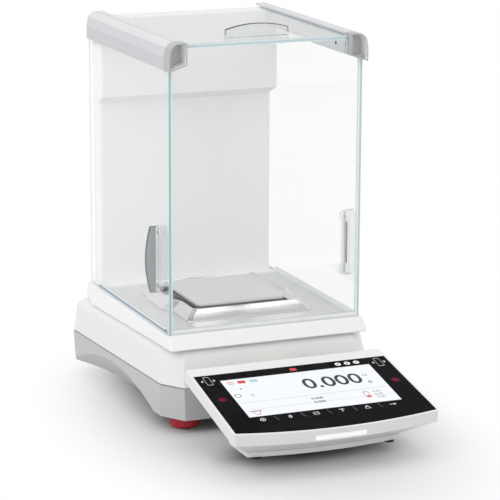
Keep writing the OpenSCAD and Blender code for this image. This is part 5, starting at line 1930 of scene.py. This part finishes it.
    def draw_margins(self, prints: FacePrint) -> None:
        """Draws the marks on the black margin round the screen.

        Args:
            prints: where the marks go.
        """
        white = "ink_white"
        prints.shape("ink_red", rounded(square((-3, 4.2), (3, 9.2)), 0.8))
        for x, ink in zip(self.lamp_marks, ("ink_red", "ink_black", "ink_black")):
            prints.disc(white, x, 6.2, 2.9)
            prints.disc(ink, x, 6.2, 1.0, 0.07)
        for side in (-1, 1):
            x = side * self.slider_x
            prints.loop(white, rounded(square((x - 2.8, 3), (x + 2.8, 18)), 2), 0.5)
            for way in (-1, 1):
                tip = x + way * 6.6
                prints.shape(white, [(tip, 10.5), (tip - way * 1.7, 12.5), (tip - way * 1.7, 8.5)])
            prints.disc("sensor_window", side * self.sensor_x, self.sensor_s, 4.4, 0.04)
            prints.disc("sensor_glow", side * self.sensor_x, self.sensor_s, 3.0, 0.06)
        self.draw_keys(prints, white)
        for x in self.key_gaps:
            prints.line("ink_grey", (x - 1.2, 83.4), (x + 1.2, 90.6), 0.25)

    def draw_keys(self, prints: FacePrint, ink: str) -> None:
        """Draws the plain pictograms of the key row.

        Args:
            prints: where they go.
            ink: their finish.
        """
        dial, zero, box, tee, bell, arrow = self.keys
        s = self.key_s
        prints.loop(ink, circle(dial, s, 2.6), 0.7)
        prints.disc(ink, dial, s, 0.8)
        prints.number(ink, "0", zero - 1.6, s + 2.2, 6.2)
        prints.loop(ink, square((box - 2.6, s - 2.2), (box + 2.6, s + 2.2)), 0.6)
        prints.line(ink, (box - 1.5, s), (box + 1.5, s), 0.5)
        prints.line(ink, (tee - 2.6, s - 1.8), (tee + 2.6, s - 1.8), 0.7)
        prints.line(ink, (tee, s - 1.8), (tee, s + 2.4), 0.7)
        prints.loop(ink, [(bell - 1.6, s - 1.4), (bell + 1.6, s - 1.4), (bell + 2.8, s + 2.4),
                          (bell - 2.8, s + 2.4)], 0.7)
        prints.disc(ink, bell, s - 2.0, 0.8)
        prints.line(ink, (arrow - 3, s), (arrow + 2, s), 0.7)
        prints.shape(ink, [(arrow + 3.4, s), (arrow + 1.2, s + 1.7), (arrow + 1.2, s - 1.7)])

    def build(self) -> None:
        """Builds the shells, the glass and everything drawn on it."""
        self.build_top_shell()
        self.build_bottom_shell()
        self.build_glass()
        prints = FacePrint(self.finishes, self.seat())
        self.draw_screen(prints)
        self.draw_margins(prints)
        prints.deliver()


@dataclass(frozen=True)
class SoftLamp:
    """A square soft lamp that faces the balance, with places and sizes in metres."""

    name: str
    place: Triple
    size: float
    power: float
    aim_z: float = 0.15

    def hang(self) -> None:
        """Hangs the lamp, out of sight of mirrors."""
        data = bpy.data.lights.new(self.name, "AREA")
        data.shape = "SQUARE"
        data.size = self.size
        data.energy = self.power
        lamp = bpy.data.objects.new(self.name, data)
        bpy.context.scene.collection.objects.link(lamp)
        lamp.visible_glossy = False
        lamp.location = self.place
        aim = Vector((0, AXIS_Y, self.aim_z)) - Vector(self.place)
        lamp.rotation_euler = aim.to_track_quat("-Z", "Y").to_euler()


@dataclass
class Studio:
    """Pale floor, soft lamps, white surround and the camera.

    The camera's aim and distance are in millimetres, other lengths in metres. The floor is white
    beyond an ellipse round the balance, and darker in the narrow gap under the casing: each span
    of the gap says where it starts and ends and how dark it is there. A card is a direction, with
    the nearness to it where the card starts and is full, and how much light it takes away.
    """

    azimuth: float = -22.657
    elevation: float = 13.451
    roll: float = 0.265
    aim: Triple = (20.838, -13.0, 136.092)
    distance: float = 2283.5
    lens: float = 175.07
    sensor: float = 36.0
    sight: float = 50.0
    floor_side: float = 12.0
    paper: Triple = (0.70, 0.70, 0.705)
    paper_rough: float = 0.55
    paper_spec: float = 0.2
    shadow_radii: Point = (0.0854, 0.1476)
    shadow_shift: Point = (0.097, 0.318)
    shadow_fade: Point = (0.98, 2.38)
    gap_reach: float = 0.03
    gap_samples: int = 12
    gap_closed: Span = (0.05, 0.85, 0.96, 0.0)
    gap_front: Span = (-0.16, -0.125, 0.0, 1.0)
    gap_rear: Span = (-0.08, -0.03, 1.0, 0.35)
    sky: Triple = (1.0, 0.995, 0.995)
    sky_strength: float = 0.86
    white_strength: float = 1.0
    cards: tuple[tuple[Triple, Triple], ...] = (
        ((-0.483, 0.04, 0.875), (0.84, 0.95, 0.9)),
        ((0.375, -0.36, 0.854), (0.90, 0.985, 0.25)))
    lamps: tuple[SoftLamp, ...] = (
        SoftLamp("key_left", (-1.5, -0.25, 1.3), 1.3, 10.0),
        SoftLamp("top_soft", (0.3, 0.1, 2.0), 1.4, 6.0),
        SoftLamp("fill_front", (0.3, -1.9, 1.1), 1.2, 2.4))

    def build_camera(self) -> None:
        """Places the camera at the photograph's viewing angle."""
        a, e, r = (math.radians(v) for v in (self.azimuth, self.elevation, self.roll))
        back = Vector((math.sin(a) * math.cos(e), -math.cos(a) * math.cos(e), math.sin(e)))
        right = Vector((math.cos(a), math.sin(a), 0))
        up = back.cross(right)
        side = right * math.cos(r) + up * math.sin(r)
        top = up * math.cos(r) - right * math.sin(r)
        spot = at(*self.aim) + back * (self.distance * MM)
        camera = bpy.data.objects.new("camera", bpy.data.cameras.new("camera"))
        bpy.context.scene.collection.objects.link(camera)
        camera.matrix_world = Matrix((
            (side.x, top.x, back.x, spot.x), (side.y, top.y, back.y, spot.y),
            (side.z, top.z, back.z, spot.z), (0, 0, 0, 1)))
        camera.data.sensor_width = self.sensor
        camera.data.lens = self.lens
        camera.data.clip_end = self.sight
        bpy.context.scene.camera = camera

    def build_floor(self) -> None:
        """Lays the floor, white to the eye beyond the balance's own shadow."""
        Workbench.clear()
        bpy.ops.mesh.primitive_plane_add(size=self.floor_side, location=(0, AXIS_Y, 0))
        floor = Workbench.named("studio_floor")
        floor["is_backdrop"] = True
        material = bpy.data.materials.new("floor_paper")
        material.use_nodes = True
        wires = Wiring(material.node_tree)
        shader = material.node_tree.nodes["Principled BSDF"]
        seen = wires.seen()
        wires.feed(shader, {"Roughness": self.paper_rough, "Specular IOR Level": self.paper_spec,
                            "Base Color": self.contact_shade(wires, seen)})
        wide, deep = self.shadow_radii
        spread = wires.add(
            "VectorMath", operation="MULTIPLY_ADD",
            inputs={0: wires.place(), 1: (1 / wide, 1 / deep, 0.0), 2: (*self.shadow_shift, 0.0)})
        reach = wires.add("VectorMath", {0: spread.outputs["Vector"]}, operation="LENGTH")
        fade = wires.ramp(reach.outputs["Value"], (*self.shadow_fade, 0.0, 1.0), "SMOOTHSTEP")
        white = wires.add("Emission").outputs["Emission"]
        wires.finish("Material Output", wires.mixed(wires.math("MULTIPLY", seen, fade),
                                                    shader.outputs["BSDF"], white))
        floor.data.materials.append(material)

    def contact_shade(self, wires: Wiring, seen: Socket) -> Socket:
        """Darkens the paper in the narrow gap under the casing.

        Args:
            wires: the floor material's wiring.
            seen: a socket that is 1 for rays that are seen.

        Returns:
            A socket with the paper's colour.
        """
        closed = wires.add("AmbientOcclusion", {"Distance": self.gap_reach},
                           samples=self.gap_samples)
        depth = wires.add("SeparateXYZ", {0: wires.place()}).outputs["Y"]
        shade = seen
        for source, span in ((closed.outputs["AO"], self.gap_closed), (depth, self.gap_front),
                             (depth, self.gap_rear)):
            shade = wires.math("MULTIPLY", shade, wires.ramp(source, span))
        return wires.tinted(self.paper, wires.math("SUBTRACT", 1.0, shade))

    def build_world(self) -> None:
        """Sets a white surround for the eye and a plain soft light for the balance."""
        world = bpy.data.worlds.new("studio")
        bpy.context.scene.world = world
        world.use_nodes = True
        wires = Wiring(world.node_tree)
        sky = world.node_tree.nodes["Background"]
        wires.feed(sky, {"Color": (*self.sky, 1.0), "Strength": self.sky_strength})
        white = wires.add("Background", {"Strength": self.white_strength})
        plain = wires.mixed(wires.seen(), sky.outputs["Background"], white.outputs["Background"])
        mirrored = wires.add("Background", {"Strength": self.reflected_level(wires)})
        glossy = wires.add("LightPath").outputs["Is Glossy Ray"]
        wires.finish("World Output", wires.mixed(glossy, plain, mirrored.outputs["Background"]))

    def reflected_level(self, wires: Wiring) -> Value:
        """Finds how bright the studio is in a mirror: white, less each card.

        Args:
            wires: the world's wiring.

        Returns:
            A socket with the brightness.
        """
        view = wires.add("TexCoord").outputs["Generated"]
        light: Value = 1.0
        for towards, (start, full, depth) in self.cards:
            card = wires.ramp(wires.along(view, towards), (start, full, 0.0, depth), "SMOOTHSTEP")
            light = wires.math("SUBTRACT", light, card)
        return light

    def build(self) -> None:
        """Builds camera, floor, surround and lamps."""
        bpy.context.scene.view_settings.view_transform = "Standard"
        self.build_camera()
        self.build_floor()
        self.build_world()
        for lamp in self.lamps:
            lamp.hang()


def write_sizes(before: object) -> None:
    """Turns the CAD box and the dressed model's box into plain numbers, which are not kept.

    Args:
        before: the bounds kept from straight after loading.
    """
    def plain(box: object) -> list[list[float]]:
        """Turns a box into plain lists."""
        return [[float(v) for v in corner] for corner in box]

    {"cad": plain(before), "visual": plain(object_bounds())}


def main() -> None:
    """Builds the balance piece by piece and reports each."""
    logging.basicConfig(level=logging.INFO, format="%(name)s: %(message)s")
    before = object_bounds()
    finishes = Finishes()
    finishes.dress_carried()
    Studio().build()
    for part in (BaseHousing(finishes), DraftShield(finishes), WeighingArea(finishes),
                 Terminal(finishes)):
        part.build()
        LOG.info("%s finished", type(part).__name__)
    Workbench.clear()
    write_sizes(before)


if __name__ == "__main__":
    main()
